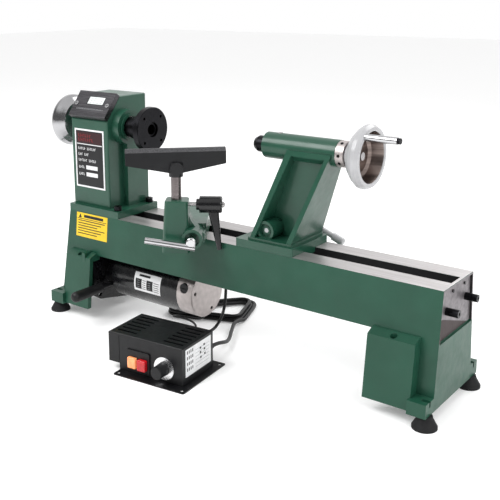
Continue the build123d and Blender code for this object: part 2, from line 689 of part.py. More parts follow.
# ---------------------------------------------------------------- tailstock
TAIL_FOOT = BED_TOP + 0.2
TAIL_CAM_X = 69.5
TAIL_CAM_Z = 212.0
CAM_R = 7.0
WEB_HALF = 9.0
KEY_X = 70.0
with BuildPart() as tailstock_casting:
    with BuildSketch(Plane.XZ):
        with BuildLine():
            Polyline(
                (45, TAIL_FOOT + 12), (118, TAIL_FOOT + 12), (170, SPINDLE_Z), (96, SPINDLE_Z), close=True,
            )
        make_face()
    extrude(amount=60, both=True)
    with BuildSketch(along_x(0)):
        with BuildLine():
            Polyline(
                (-45, TAIL_FOOT + 12), (-21, SPINDLE_Z + 8), (21, SPINDLE_Z + 8), (45, TAIL_FOOT + 12),
                close=True,
            )
        make_face()
    extrude(amount=200, mode=Mode.INTERSECT)
    for side in (-1, 1):
        with BuildSketch(Plane(origin=(0, side * WEB_HALF, 0), x_dir=(1, 0, 0), z_dir=(0, -1, 0))):
            with BuildLine():
                Polyline(
                    (54, TAIL_FOOT + 16), (111, TAIL_FOOT + 16), (160, SPINDLE_Z - 8),
                    (104, SPINDLE_Z - 8), close=True,
                )
            make_face()
        extrude(amount=-side * 60, mode=Mode.SUBTRACT)
    with BuildSketch(Plane.XY.offset(TAIL_FOOT)):
        with Locations(((TAIL_BASE_X0 + TAIL_BASE_X1) / 2, 0)):
            RectangleRounded(TAIL_BASE_X1 - TAIL_BASE_X0, 2 * BED_HALF, 2)
    extrude(amount=12.3)
    with BuildSketch(Plane.XY.offset(TAIL_FOOT + 12)):
        with Locations((82, 0)):
            RectangleRounded(78, 92, 2)
    extrude(amount=4.5)
    with BuildSketch(Plane.XY.offset(TAIL_FOOT)):
        with Locations(((TAIL_BASE_X0 + TAIL_BASE_X1) / 2, 0)):
            Rectangle(TAIL_BASE_X1 - TAIL_BASE_X0, 2 * (SLOT_HALF - GAP))
    extrude(amount=-7)
    with BuildSketch(Plane.XZ.offset(-38)):
        with Locations((TAIL_CAM_X, TAIL_CAM_Z)):
            Circle(15)
    extrude(amount=76)
    with BuildSketch(along_x(BARREL_X0)):
        with Locations((0, SPINDLE_Z)):
            Circle(BARREL_R)
    extrude(amount=BARREL_X1 - BARREL_X0)
    with BuildSketch(along_x(BARREL_X0)):
        with Locations((0, SPINDLE_Z)):
            Circle(QUILL_R + FIT)
    extrude(amount=BARREL_X1 - BARREL_X0, mode=Mode.SUBTRACT)
    with BuildSketch(Plane.XZ.offset(-60)):
        with Locations((TAIL_CAM_X, TAIL_CAM_Z)):
            Circle(CAM_R + FIT)
    extrude(amount=120, mode=Mode.SUBTRACT)
    with BuildSketch(Plane.XZ.offset(38)):
        with Locations((TAIL_CAM_X, TAIL_CAM_Z)):
            Circle(11)
    extrude(amount=-5, mode=Mode.SUBTRACT)
    with BuildSketch(Plane.XY.offset(TAIL_CAM_Z + 13)):
        with Locations((TAIL_CAM_X, 0)):
            Circle(13.8)
    extrude(amount=-60, mode=Mode.SUBTRACT)
    with BuildSketch(Plane.XY.offset(SPINDLE_Z)):
        with Locations((KEY_X, 0)):
            Circle(4.0)
    extrude(amount=30, mode=Mode.SUBTRACT)
save(tailstock_casting, "tailstock_casting")

QUILL_NOSE = 27.5
QUILL_END = 152.0
SCREW_R = 5.0
with BuildPart() as quill:
    add(lathe_profile((
        (QUILL_NOSE, 8.9), (QUILL_NOSE, 9.5), (QUILL_NOSE + 6, QUILL_R), (QUILL_END, QUILL_R),
        (QUILL_END, SCREW_R + FIT), (QUILL_NOSE + 64, SCREW_R + FIT), (QUILL_NOSE + 64, 7.2),
    )))
    with BuildSketch(Plane.XY.offset(SPINDLE_Z + QUILL_R)):
        with Locations((KEY_X + 28, 0)):
            SlotOverall(66, 4.2)
    extrude(amount=-3, mode=Mode.SUBTRACT)
save(quill, "quill")

with BuildPart() as quill_key_screw:
    with BuildSketch(Plane.XY.offset(SPINDLE_Z + QUILL_R - 2.5)):
        with Locations((KEY_X, 0)):
            Circle(1.9)
    extrude(amount=4)
    with BuildSketch(Plane.XY.offset(SPINDLE_Z + QUILL_R + 0.4)):
        with Locations((KEY_X, 0)):
            Circle(4.0)
    extrude(amount=7.5)
    with BuildSketch(Plane.XY.offset(SPINDLE_Z + QUILL_R + 7.9)):
        with Locations((KEY_X, 0)):
            Rectangle(7, 1.2)
    extrude(amount=-1.5, mode=Mode.SUBTRACT)
save(quill_key_screw, "quill_key_screw")

SCREW_X0 = 80.0
with BuildPart() as lead_screw:
    add(lathe_profile((
        (SCREW_X0, 0), (SCREW_X0, SCREW_R), (BARREL_X1 - 8, SCREW_R), (BARREL_X1 - 8, 9),
        (BARREL_X1 - 0.5, 9), (BARREL_X1 - 0.5, 6), (COLLAR_X1 + 22, 6), (COLLAR_X1 + 22, 0),
    )))
save(lead_screw, "lead_screw")

with BuildPart() as thrust_collar:
    with BuildSketch(along_x(BARREL_X1)):
        with Locations((0, SPINDLE_Z)):
            Circle(BARREL_R - 0.5)
            Circle(6 + FIT, mode=Mode.SUBTRACT)
    extrude(amount=COLLAR_X1 - BARREL_X1)
    with BuildSketch(Plane(origin=(BARREL_X1 + 6, 0, SPINDLE_Z), x_dir=(1, 0, 0), z_dir=(0, -1, 0))):
        Circle(2.5)
    extrude(amount=30, mode=Mode.SUBTRACT)
save(thrust_collar, "thrust_collar")

WHEEL_HUB = COLLAR_X1 + GAP
CRANK_R = 38.5
CRANK_ANGLE = 125.0
with BuildPart() as tailstock_handwheel:
    add(lathe_profile(handwheel_profile(WHEEL_HUB, 6.0)))
save(tailstock_handwheel, "tailstock_handwheel")

crank_y = -math.sin(math.radians(CRANK_ANGLE - 90)) * CRANK_R
crank_z = math.cos(math.radians(CRANK_ANGLE - 90)) * CRANK_R
CRANK_X0 = WHEEL_HUB + 36.5 + GAP
with BuildPart() as crank_pin:
    with BuildSketch(along_x(CRANK_X0 - GAP, crank_y, SPINDLE_Z + crank_z)):
        Circle(2.5)
    extrude(amount=52)
    with BuildSketch(along_x(CRANK_X0 + 48, crank_y, SPINDLE_Z + crank_z)):
        Circle(4.2)
    extrude(amount=4)
save(crank_pin, "crank_pin")

with BuildPart() as crank_handle:
    with BuildSketch(along_x(CRANK_X0, crank_y, SPINDLE_Z + crank_z)):
        Circle(5.2)
        Circle(2.5 + FIT, mode=Mode.SUBTRACT)
    extrude(amount=47.7)
save(crank_handle, "crank_handle")

TAIL_LEVER_DROP = math.radians(21.5)
tail_lever_plane = Plane(
    origin=(TAIL_CAM_X, 67, TAIL_CAM_Z), x_dir=(0, 1, 0),
    z_dir=(math.cos(TAIL_LEVER_DROP), 0, -math.sin(TAIL_LEVER_DROP)),
)
with BuildPart() as tail_clamp_lever:
    with BuildSketch(Plane.XZ.offset(34)):
        with Locations((TAIL_CAM_X, TAIL_CAM_Z)):
            Circle(CAM_R)
    extrude(amount=-100)
    with BuildSketch(Plane.XZ.offset(-60)):
        with Locations((TAIL_CAM_X, TAIL_CAM_Z)):
            Circle(12)
    extrude(amount=-14)
    with BuildSketch(tail_lever_plane.offset(8)):
        Circle(4.5)
    extrude(amount=54)
    with BuildSketch(tail_lever_plane.offset(62)):
        Circle(6.5)
    extrude(amount=20)
    fillet(tail_clamp_lever.edges().filter_by(GeomType.CIRCLE).sort_by(Axis.X)[-1], 3.0)
save(tail_clamp_lever, "tail_clamp_lever")

CLAMP_TOP = BED_TOP - WAY_THICK - 1.0


def eye_bolt(z_shaft, shaft_r):
    """Clamp bolt that hangs from an eccentric shaft along Y, its eye round the shaft at z_shaft."""
    with BuildPart() as bolt:
        with BuildSketch(Plane.XZ.offset(-7)):
            with Locations((0, z_shaft)):
                Circle(shaft_r + 4)
        extrude(amount=14)
        with BuildSketch(Plane.XY.offset(CLAMP_TOP - 26)):
            Circle(5.0)
        extrude(amount=z_shaft - CLAMP_TOP + 24)
        with BuildSketch(Plane.XY.offset(CLAMP_TOP - 20)):
            RegularPolygon(9, 6)
        extrude(amount=8)
        with BuildSketch(Plane.XZ.offset(-8)):
            with Locations((0, z_shaft)):
                Circle(shaft_r + FIT)
        extrude(amount=16, mode=Mode.SUBTRACT)
    return bolt.part


with BuildPart() as tail_clamp_bolt:
    with Locations((TAIL_CAM_X, 0, 0)):
        add(eye_bolt(TAIL_CAM_Z, CAM_R))
save(tail_clamp_bolt, "tail_clamp_bolt")

with BuildPart() as tail_clamp_plate:
    with BuildSketch(Plane.XY.offset(CLAMP_TOP)):
        with Locations((TAIL_CAM_X, 0)):
            RectangleRounded(60, 56, 4)
            Circle(5.0, mode=Mode.SUBTRACT)
    extrude(amount=-12)
save(tail_clamp_plate, "tail_clamp_plate")

# ---------------------------------------------------------------- banjo and tool rest
turn_x = math.cos(math.radians(BANJO_TURN))
turn_y = math.sin(math.radians(BANJO_TURN))
SHAFT_U = 26.0
SHAFT_Z = 195.0
BANJO_FOOT = BED_TOP + 0.2
BANJO_LENGTH = 150.0
COLUMN_BOTTOM = 171.0
banjo_plane = Plane(origin=(BANJO_X, BANJO_Y, 0), x_dir=(turn_x, turn_y, 0), z_dir=(0, 0, 1))
bolt_v = (-BANJO_Y - SHAFT_U * turn_y) / turn_x


def banjo_across(v):
    """Plane across the banjo's length at a distance v behind the post, local +X to its right."""
    origin = banjo_plane.from_local_coords((0, v, 0))
    return Plane(origin=origin, x_dir=banjo_plane.x_dir, z_dir=-banjo_plane.y_dir)


with BuildPart() as banjo:
    with BuildSketch(banjo_plane.offset(COLUMN_BOTTOM)):
        with Locations((0, -3.5)):
            RectangleRounded(43, 34, 6)
    with BuildSketch(banjo_plane.offset(BANJO_TOP)):
        with Locations((1, -1)):
            RectangleRounded(36, 34, 6)
    loft()
    fillet(banjo.edges().group_by(Axis.Z)[-1], 2.0)
    with BuildSketch(banjo_plane.offset(BANJO_FOOT)):
        with Locations((SHAFT_U - 4, (BANJO_LENGTH + 12) / 2)):
            RectangleRounded(46, BANJO_LENGTH - 12, 5)
    extrude(amount=26)
    with BuildSketch(banjo_across(14)):
        with BuildLine():
            Line((10, 244), (18.5, 244))
            ThreePointArc((18.5, 244), (26, 216), (44, 200))
            Line((44, 200), (44, 186))
            Line((44, 186), (10, 186))
            Line((10, 186), (10, 244))
        make_face()
    extrude(amount=24)
    with BuildSketch(banjo_across(13)):
        with Locations((SHAFT_U, SHAFT_Z)):
            Circle(16)
    extrude(amount=41)
    with BuildSketch(banjo_plane.offset(BANJO_TOP + 1)):
        Circle(POST_R + FIT)
    extrude(amount=-100, mode=Mode.SUBTRACT)
    with BuildSketch(banjo_across(BANJO_LENGTH + 10)):
        with Locations((SHAFT_U, SHAFT_Z)):
            Circle(CAM_R + FIT)
    extrude(amount=200, mode=Mode.SUBTRACT)
    with BuildSketch(banjo_across(-28)):
        with Locations((SHAFT_U, SHAFT_Z)):
            Circle(11.5)
    extrude(amount=-6, mode=Mode.SUBTRACT)
    with BuildSketch(banjo_plane.offset(BANJO_FOOT + 22)):
        with Locations((SHAFT_U, bolt_v - 2)):
            SlotOverall(100, 23.5, 90)
    extrude(amount=-30, mode=Mode.SUBTRACT)
    with BuildSketch(Plane(origin=banjo_plane.from_local_coords((0, 0, BANJO_TOP - 8)),
                           x_dir=(0, 0, 1), z_dir=banjo_plane.x_dir)):
        Circle(3.0 + FIT)
    extrude(amount=30, mode=Mode.SUBTRACT)
save(banjo, "banjo")

ROD_V = -41.0
rod_start = banjo_plane.from_local_coords((SHAFT_U + 6, ROD_V, SHAFT_Z - 9.0))
rod_end = banjo_plane.from_local_coords((-44, ROD_V, SHAFT_Z + 2))
rod_vector = rod_end - rod_start
with BuildPart() as banjo_clamp_handle:
    with BuildSketch(banjo_across(BANJO_LENGTH + 2)):
        with Locations((SHAFT_U, SHAFT_Z)):
            Circle(CAM_R)
    extrude(amount=BANJO_LENGTH + 2 - ROD_V)
    with BuildSketch(banjo_across(ROD_V + 6)):
        with Locations((SHAFT_U, SHAFT_Z)):
            Circle(7.8)
    extrude(amount=11)
    fillet(banjo_clamp_handle.edges().filter_by(GeomType.CIRCLE).sort_by(Axis.Y)[0], 3.0)
    with BuildSketch(Plane(origin=rod_start, x_dir=(0, 0, 1), z_dir=rod_vector)):
        Circle(4.8)
    extrude(amount=rod_vector.length)
save(banjo_clamp_handle, "banjo_clamp_handle")

bolt_at = banjo_plane.from_local_coords((SHAFT_U, bolt_v, 0))
with BuildPart() as banjo_clamp_bolt:
    with Locations(Location((bolt_at.X, bolt_at.Y, 0), (0, 0, BANJO_TURN))):
        add(eye_bolt(SHAFT_Z, CAM_R))
save(banjo_clamp_bolt, "banjo_clamp_bolt")

with BuildPart() as banjo_clamp_plate:
    with BuildSketch(Plane.XY.offset(CLAMP_TOP)):
        with Locations((bolt_at.X, bolt_at.Y)):
            RectangleRounded(50, 56, 4)
            Circle(5.0 + FIT, mode=Mode.SUBTRACT)
    extrude(amount=-12)
save(banjo_clamp_plate, "banjo_clamp_plate")

lever_root = banjo_plane.from_local_coords((19.0, 0, BANJO_TOP - 8))
lever_plane = Plane(origin=lever_root, x_dir=(0, 0, 1), z_dir=banjo_plane.x_dir)
with BuildPart() as rest_lock_stud:
    with BuildSketch(lever_plane.offset(-8)):
        Circle(3.0)
    extrude(amount=64)
    with BuildSketch(lever_plane.offset(52.3)):
        Circle(4.5)
    extrude(amount=2.2)
save(rest_lock_stud, "rest_lock_stud")

with BuildPart() as rest_lock_lever:
    with BuildSketch(lever_plane.offset(12)):
        Circle(8.8)
    extrude(amount=6)
    with BuildSketch(lever_plane.offset(17)):
        Circle(13)
    extrude(amount=35)
    fillet(rest_lock_lever.edges().filter_by(GeomType.CIRCLE).sort_by(Axis.X)[-1], 3.0)
    arm_top = banjo_plane.from_local_coords((19 + 38, 0, BANJO_TOP - 8 - 9))
    arm_tip = banjo_plane.from_local_coords((19 + 48, -8, BANJO_TOP - 8 - 70))
    arm_vector = arm_tip - arm_top
    with BuildSketch(Plane(origin=arm_top, x_dir=banjo_plane.x_dir, z_dir=arm_vector)) as arm_wide:
        RectangleRounded(17, 11, 4)
    with BuildSketch(Plane(origin=arm_tip, x_dir=banjo_plane.x_dir, z_dir=arm_vector)) as arm_narrow:
        RectangleRounded(7, 6, 2.5)
    loft()
    with BuildSketch(lever_plane.offset(10)):
        Circle(3.0 + FIT)
    extrude(amount=60, mode=Mode.SUBTRACT)
save(rest_lock_lever, "rest_lock_lever")

rest_x = math.cos(math.radians(REST_TURN))
rest_y = math.sin(math.radians(REST_TURN))
rest_plane = Plane(origin=(BANJO_X, BANJO_Y, 0), x_dir=(rest_x, rest_y, 0), z_dir=(0, 0, 1))
POST_TOP = REST_TOP - 30.0
POST_BOTTOM = 178.0
with BuildPart() as tool_rest_post:
    with BuildSketch(Plane.XY.offset(POST_BOTTOM)):
        with Locations((BANJO_X, BANJO_Y)):
            Circle(POST_R)
    extrude(amount=POST_TOP - POST_BOTTOM)
save(tool_rest_post, "tool_rest_post")


def rest_end(u):
    """Plane across the tool rest at a distance u from the post, local +X away from the operator."""
    origin = rest_plane.from_local_coords((u, 0, 0))
    return Plane(origin=origin, x_dir=rest_plane.y_dir, z_dir=rest_plane.x_dir)


with BuildPart() as tool_rest:
    with BuildSketch(rest_end(-REST_LENGTH / 2)):
        with BuildLine():
            Polyline(
                (8, REST_TOP), (3, REST_TOP), (-4, REST_TOP - 5), (-7, REST_TOP - 50), (3, REST_TOP - 50),
                close=True,
            )
        make_face()
    extrude(amount=REST_LENGTH)
    with BuildSketch(Plane(origin=(BANJO_X, BANJO_Y, 0), x_dir=rest_plane.x_dir, z_dir=-rest_plane.y_dir)):
        with BuildLine():
            Polyline(
                (-REST_LENGTH / 2, REST_TOP + 1), (REST_LENGTH / 2, REST_TOP + 1),
                (REST_LENGTH / 2, REST_TOP - 24), (10, REST_TOP - 37), (-10, REST_TOP - 37),
                (-REST_LENGTH / 2, REST_TOP - 24), close=True,
            )
        make_face()
    extrude(amount=60, both=True, mode=Mode.INTERSECT)
    with BuildSketch(Plane.XY.offset(REST_TOP - 43)):
        with Locations((BANJO_X, BANJO_Y)):
            Circle(11)
    extrude(amount=22)
    with BuildSketch(Plane(origin=rest_plane.from_local_coords((0, -11, REST_TOP - 30)),
                           x_dir=rest_plane.x_dir, z_dir=-rest_plane.y_dir)):
        Circle(10)
    extrude(amount=-12)
    with BuildSketch(Plane.XY.offset(REST_TOP - 50)):
        with Locations((BANJO_X, BANJO_Y)):
            Circle(POST_R + FIT)
    extrude(amount=20 + FIT, mode=Mode.SUBTRACT)
save(tool_rest, "tool_rest")

# ---------------------------------------------------------------- control box
box_plane = Plane(
    origin=(BOX_FRONT_X, BOX_FRONT_Y, 0),
    x_dir=(math.cos(math.radians(BOX_TURN)), math.sin(math.radians(BOX_TURN)), 0),
    z_dir=(0, 0, 1),
)
box_depth = Axis((0, 0, 0), box_plane.y_dir)
SHEET = 1.5
BOX_SIDE_W = 20.0
BOX_SIDE_Z = 12.0
BODY_W = BOX_W - BOX_SIDE_W
FLANGE_FRONT = 17.0
FLANGE_SIDE = 13.0


def box_front(depth):
    """Upright plane across the box at a depth behind its front, local +X to the right, +Y up."""
    origin = box_plane.from_local_coords((0, depth, 0))
    return Plane(origin=origin, x_dir=box_plane.x_dir, z_dir=-box_plane.y_dir)


SWITCH_U, SWITCH_Z = -79.0, 23.0
DIAL_U, DIAL_Z = -32.0, 23.0
with BuildPart() as control_box_base:
    with BuildSketch(box_plane):
        with Locations(((FLANGE_SIDE - BODY_W) / 2, BOX_D / 2)):
            RectangleRounded(BODY_W + FLANGE_SIDE, BOX_D + 2 * FLANGE_FRONT, 3)
        with Locations((FLANGE_SIDE - 7, -FLANGE_FRONT + 7), (FLANGE_SIDE - 7, BOX_D + FLANGE_FRONT - 7),
                       (-BODY_W + 6, -FLANGE_FRONT + 7), (-BODY_W + 6, BOX_D + FLANGE_FRONT - 7)):
            Circle(2.6, mode=Mode.SUBTRACT)
    extrude(amount=SHEET)
    for depth in (SHEET, BOX_D):
        with BuildSketch(box_front(depth)):
            with Locations((-BODY_W / 2, (BOX_H - SHEET) / 2)):
                Rectangle(BODY_W - 2 * SHEET, BOX_H - SHEET)
        extrude(amount=SHEET)
    with BuildSketch(box_front(SHEET)):
        with Locations((SWITCH_U, SWITCH_Z)):
            Rectangle(37.8, 27.8)
        with Locations((DIAL_U, DIAL_Z)):
            Circle(3.6)
    extrude(amount=SHEET, mode=Mode.SUBTRACT)
save(control_box_base, "control_box_base")

VENT_COUNT = 6
with BuildPart() as control_box_cover:
    with BuildSketch(box_front(BOX_D)):
        with BuildLine():
            Polyline(
                (0, SHEET), (0, BOX_H), (-BOX_W, BOX_H), (-BOX_W, BOX_SIDE_Z), (-BODY_W, BOX_SIDE_Z),
                (-BODY_W, SHEET), close=True,
            )
        make_face()
    extrude(amount=BOX_D)
    fillet(control_box_cover.edges().filter_by(Axis.Z, reverse=True).group_by(Axis.Z)[-1], 1.8)
    with BuildSketch(box_front(BOX_D - SHEET)):
        with BuildLine():
            Polyline(
                (-SHEET, 0), (-SHEET, BOX_H - SHEET), (-BOX_W + SHEET, BOX_H - SHEET),
                (-BOX_W + SHEET, BOX_SIDE_Z + SHEET), (-BODY_W + SHEET, BOX_SIDE_Z + SHEET),
                (-BODY_W + SHEET, 0), close=True,
            )
        make_face()
    extrude(amount=BOX_D - 2 * SHEET, mode=Mode.SUBTRACT)
    with BuildSketch(box_front(BOX_D + 1)):
        with Locations((-BODY_W / 2, (BOX_H - SHEET) / 2)):
            Rectangle(BODY_W - 2 * SHEET, BOX_H - SHEET)
    extrude(amount=BOX_D + 2, mode=Mode.SUBTRACT)
    with BuildSketch(box_plane.offset(BOX_H + 1)):
        for u in (-BOX_W + 26, -24):
            with Locations((u, BOX_D / 2)):
                with GridLocations(1, 11.5, 1, VENT_COUNT):
                    SlotOverall(36, 4.2)
    extrude(amount=-SHEET - 2, mode=Mode.SUBTRACT)
    with BuildSketch(box_front(0)):
        with Locations((-BODY_W, (BOX_H + BOX_SIDE_Z) / 2)):
            Rectangle(0.9, BOX_H - BOX_SIDE_Z - 5)
    extrude(amount=-0.5, mode=Mode.SUBTRACT)
save(control_box_cover, "control_box_cover")

with BuildPart() as switch_bezel:
    with BuildSketch(box_front(-2.2)):
        with Locations((SWITCH_U, SWITCH_Z)):
            RectangleRounded(43, 33, 3)
    extrude(amount=-2.2)
    with BuildSketch(box_front(0)):
        with Locations((SWITCH_U, SWITCH_Z)):
            Rectangle(37.4, 27.4)
    extrude(amount=-22)
    with BuildSketch(box_front(-3)):
        with Locations((SWITCH_U - 9.5, SWITCH_Z - 3), (SWITCH_U + 9.5, SWITCH_Z - 3)):
            Rectangle(16, 18)
    extrude(amount=-17, mode=Mode.SUBTRACT)
save(switch_bezel, "switch_bezel")


def push_key(side, proud):
    """One of the two switch keys, standing proud of the bezel's face."""
    with BuildPart() as key:
        with BuildSketch(box_front(-2.2 - proud)):
            with Locations((SWITCH_U + side * 9.5, SWITCH_Z - 3)):
                RectangleRounded(15.4, 17.4, 2)
        extrude(amount=-(proud + 8))
        fillet(key.faces().sort_by(box_depth)[0].edges(), 1.5)
    return key.part


with BuildPart() as start_button:
    add(push_key(-1, 4.0))
save(start_button, "start_button")

with BuildPart() as stop_button:
    add(push_key(1, 6.0))
save(stop_button, "stop_button")

with BuildPart() as speed_dial_ring:
    with BuildSketch(box_front(-1.2)):
        with Locations((DIAL_U, DIAL_Z)):
            Circle(17.5)
            Circle(3.3, mode=Mode.SUBTRACT)
    extrude(amount=-1.2)
save(speed_dial_ring, "speed_dial_ring")

with BuildPart() as speed_knob:
    with BuildSketch(box_front(-1.5)):
        with Locations((DIAL_U, DIAL_Z)):
            Circle(10.4)
    extrude(amount=20, taper=3)
    fillet(speed_knob.edges().filter_by(GeomType.CIRCLE).sort_by(box_depth)[0], 1.2)
    with BuildSketch(box_front(-1.5)):
        with Locations((DIAL_U, DIAL_Z)):
            Circle(3.0)
    extrude(amount=-8)
save(speed_knob, "speed_knob")

# ---------------------------------------------------------------- leads
CONTROL_LEAD_D = 5.0
MOTOR_LEAD_D = 3.6
MAINS_LEAD_D = 6.2
GLAND_LENGTH = 24.0
GLANDS = (
    (-40.0, 36.0, CONTROL_LEAD_D),
    (-66.0, 30.0, MOTOR_LEAD_D),
    (-16.0, 22.0, MAINS_LEAD_D),
)


def gland_exit(u, z, out=GLAND_LENGTH):
    """Point on a gland's axis at a distance out behind the box's back."""
    point = box_plane.from_local_coords((u, BOX_D + out, z))
    return (point.X, point.Y, point.Z)


with BuildPart() as cord_glands:
    for u, z, lead_d in GLANDS:
        with BuildSketch(box_front(BOX_D)):
            with Locations((u, z)):
                Circle(lead_d / 2 + 4)
        extrude(amount=-6)
        with BuildSketch(box_front(BOX_D + 6)) as relief_root:
            with Locations((u, z)):
                Circle(lead_d / 2 + 2.2)
        with BuildSketch(box_front(BOX_D + GLAND_LENGTH)) as relief_tip:
            with Locations((u, z)):
                Circle(lead_d / 2 + 0.9)
        loft()
    with BuildSketch(Plane.XY.offset(BED_TOP - WAY_THICK)):
        with Locations((-60, 38)):
            Circle(5.5)
    extrude(amount=-10)
save(cord_glands, "cord_glands")


def lead_tube(name, points, diameter):
    """Round lead along straight runs joined by arcs as large as the runs allow."""
    route = [Vector(*point) for point in points]
    radii = []
    for before, corner, after in zip(route, route[1:], route[2:]):
        turn = math.radians((corner - before).get_angle(after - corner))
        shorter = min((corner - before).length, (after - corner).length)
        radii.append(0.45 * shorter / math.tan(turn / 2))
    with BuildPart() as tube:
        with BuildLine() as path:
            FilletPolyline(*route, radius=radii)
        with BuildSketch(Plane(origin=route[0], z_dir=route[1] - route[0])):
            Circle(diameter / 2)
        sweep()
    length = path.wires()[0].length
    expected = math.pi * diameter**2 / 4 * length
    print(name, "length", round(length, 1), "volume ratio", round(tube.part.volume / expected, 4),
          "lowest", round(tube.part.bounding_box().min.Z, 2), "radii", [round(r) for r in radii])
    return tube


CONTROL_ROUTE = (
    gland_exit(-40, 36), (-26.4, -66, 33), (-28.5, -48, 29), (-30.6, -31, 30), (-32.4, -16, 38),
    (-33.4, -4.5, 52), (-33.8, 0.2, 72), (-34.2, 1.6, 94), (-37, 6, 114), (-44, 16, 131),
    (-51, 26, 141.5), (-56.5, 33, 151),
    (-60, 38, BED_TOP - WAY_THICK - 10),
)
control_lead = lead_tube("control_lead", CONTROL_ROUTE, CONTROL_LEAD_D)
save(control_lead, "control_lead")

MOTOR_ROUTE = (
    (-88, 14, 37), (-88.5, 14.2, 27), (-93, 15.5, 17), (-104, 17.5, 10.5), (-119, 17, 8.5), (-134, 12, 10),
    (-143, 0.5, 13), (-139, -12.5, 17), (-126, -19.5, 21), (-109, -21, 24), (-90, -24, 25), (-72, -32, 25),
    (-60, -46, 26), (-53.5, -64, 28.5), gland_exit(-66, 30),
)
motor_lead = lead_tube("motor_lead", MOTOR_ROUTE, MOTOR_LEAD_D)
save(motor_lead, "motor_lead")

MAINS_ROUTE = (
    gland_exit(-16, 22), (-2.4, -62, 20.5), (-4, -45, 15.5), (-9, -28, 10), (-18, -10, 7.5),
    (-29, 8, 7), (-39, 26, 8), (-48.5, 43, 9.5), (-57, 58, 11),
)
mains_lead = lead_tube("mains_lead", MAINS_ROUTE, MAINS_LEAD_D)
save(mains_lead, "mains_lead")

HANK_HEIGHT = 24.0
HANK_R = 28.0
HANK_CORNERS = ((-165.0, 40.0), (-75.0, 75.0), (-95.0, 130.0))
with BuildPart() as mains_hank:
    with BuildSketch(Plane.XY.offset(0.1)) as hank_outline:
        with Locations(*HANK_CORNERS):
            Circle(HANK_R)
        make_hull()
    extrude(amount=HANK_HEIGHT)
    with BuildSketch(Plane.XY.offset(0.1)) as hank_middle:
        with Locations(*HANK_CORNERS):
            Circle(7)
        make_hull()
    extrude(amount=HANK_HEIGHT, mode=Mode.SUBTRACT)
    fillet(mains_hank.edges().group_by(Axis.Z)[-1], 4.0)
save(mains_hank, "mains_hank")

back_x = HANK_CORNERS[0][0] - HANK_CORNERS[2][0]
back_y = HANK_CORNERS[0][1] - HANK_CORNERS[2][1]
back_length = math.hypot(back_x, back_y)
plug_out = Vector(back_y / back_length, -back_x / back_length, 0)
plug_root = Vector(HANK_CORNERS[2]) + Vector(back_x, back_y, 0) * 0.5 + plug_out * HANK_R
PLUG_Z = 13.5
plug_plane = Plane(
    origin=(plug_root.X, plug_root.Y, PLUG_Z), x_dir=(plug_out.Y, -plug_out.X, 0), z_dir=plug_out,
)
with BuildPart() as mains_plug:
    with BuildSketch(plug_plane):
        Circle(5.5)
    with BuildSketch(plug_plane.offset(16)):
        RectangleRounded(24, 22, 6)
    loft()
    with BuildSketch(plug_plane.offset(16)):
        RectangleRounded(27, 24, 6)
    extrude(amount=20)
    with BuildSketch(plug_plane.offset(36)):
        with Locations((-6.35, 3), (6.35, 3)):
            Rectangle(1.6, 6.3)
        with Locations((0, -6)):
            Circle(2.4)
    extrude(amount=17)
save(mains_plug, "mains_plug")
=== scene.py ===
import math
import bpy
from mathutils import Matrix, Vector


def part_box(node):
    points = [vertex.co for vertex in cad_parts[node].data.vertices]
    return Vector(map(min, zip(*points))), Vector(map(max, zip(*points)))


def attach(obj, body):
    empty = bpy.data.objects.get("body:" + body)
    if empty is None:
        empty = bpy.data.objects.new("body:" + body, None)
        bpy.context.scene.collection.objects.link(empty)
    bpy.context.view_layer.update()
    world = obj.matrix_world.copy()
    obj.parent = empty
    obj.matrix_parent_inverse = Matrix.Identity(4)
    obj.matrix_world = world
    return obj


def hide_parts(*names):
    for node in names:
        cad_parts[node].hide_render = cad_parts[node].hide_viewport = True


bl_info = {
    "name": "Wood Lathe",
    "version": (1, 0, 0),
    "blender": (4, 5, 0),
    "location": "View3D > Sidebar > Lathe",
    "description": "Finishes, leads, plates and studio for a benchtop wood lathe",
    "category": "Object",
}

import bmesh
import bpy
from bpy.props import FloatProperty, FloatVectorProperty, IntProperty, PointerProperty
from mathutils import Matrix, Vector

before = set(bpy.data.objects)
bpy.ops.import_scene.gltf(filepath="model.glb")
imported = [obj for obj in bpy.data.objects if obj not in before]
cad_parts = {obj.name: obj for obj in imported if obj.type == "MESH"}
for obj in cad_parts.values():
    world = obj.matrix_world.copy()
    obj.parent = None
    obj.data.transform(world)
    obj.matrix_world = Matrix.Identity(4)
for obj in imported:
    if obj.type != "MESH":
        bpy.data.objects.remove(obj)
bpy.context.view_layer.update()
MM = 0.001
BED_LOW, BED_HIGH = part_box("bed_casting")
BED_TOP = BED_HIGH.z
SPINDLE_LOW, SPINDLE_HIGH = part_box("spindle")
SPINDLE_Z = (SPINDLE_LOW.z + SPINDLE_HIGH.z) / 2


# ---------------------------------------------------------------- settings
class LatheFinish(bpy.types.PropertyGroup):
    green: FloatVectorProperty(
        name="Casting green", description="Paint of the castings", subtype="COLOR",
        default=(0.011, 0.062, 0.037),
    )
    black: FloatVectorProperty(
        name="Black", description="Black paint and plastic", subtype="COLOR",
        default=(0.0035, 0.0036, 0.0045),
    )
    sticker: FloatVectorProperty(
        name="Sticker yellow", description="Ground of the sticker", subtype="COLOR",
        default=(0.78, 0.52, 0.02),
    )
    sheath: FloatVectorProperty(
        name="Lead sheath", description="Colour of the leads", subtype="COLOR",
        default=(0.0035, 0.0035, 0.004),
    )
    paint_roughness: FloatProperty(
        name="Paint roughness", description="Mean roughness of the paint", default=0.36, min=0.0, max=1.0
    )


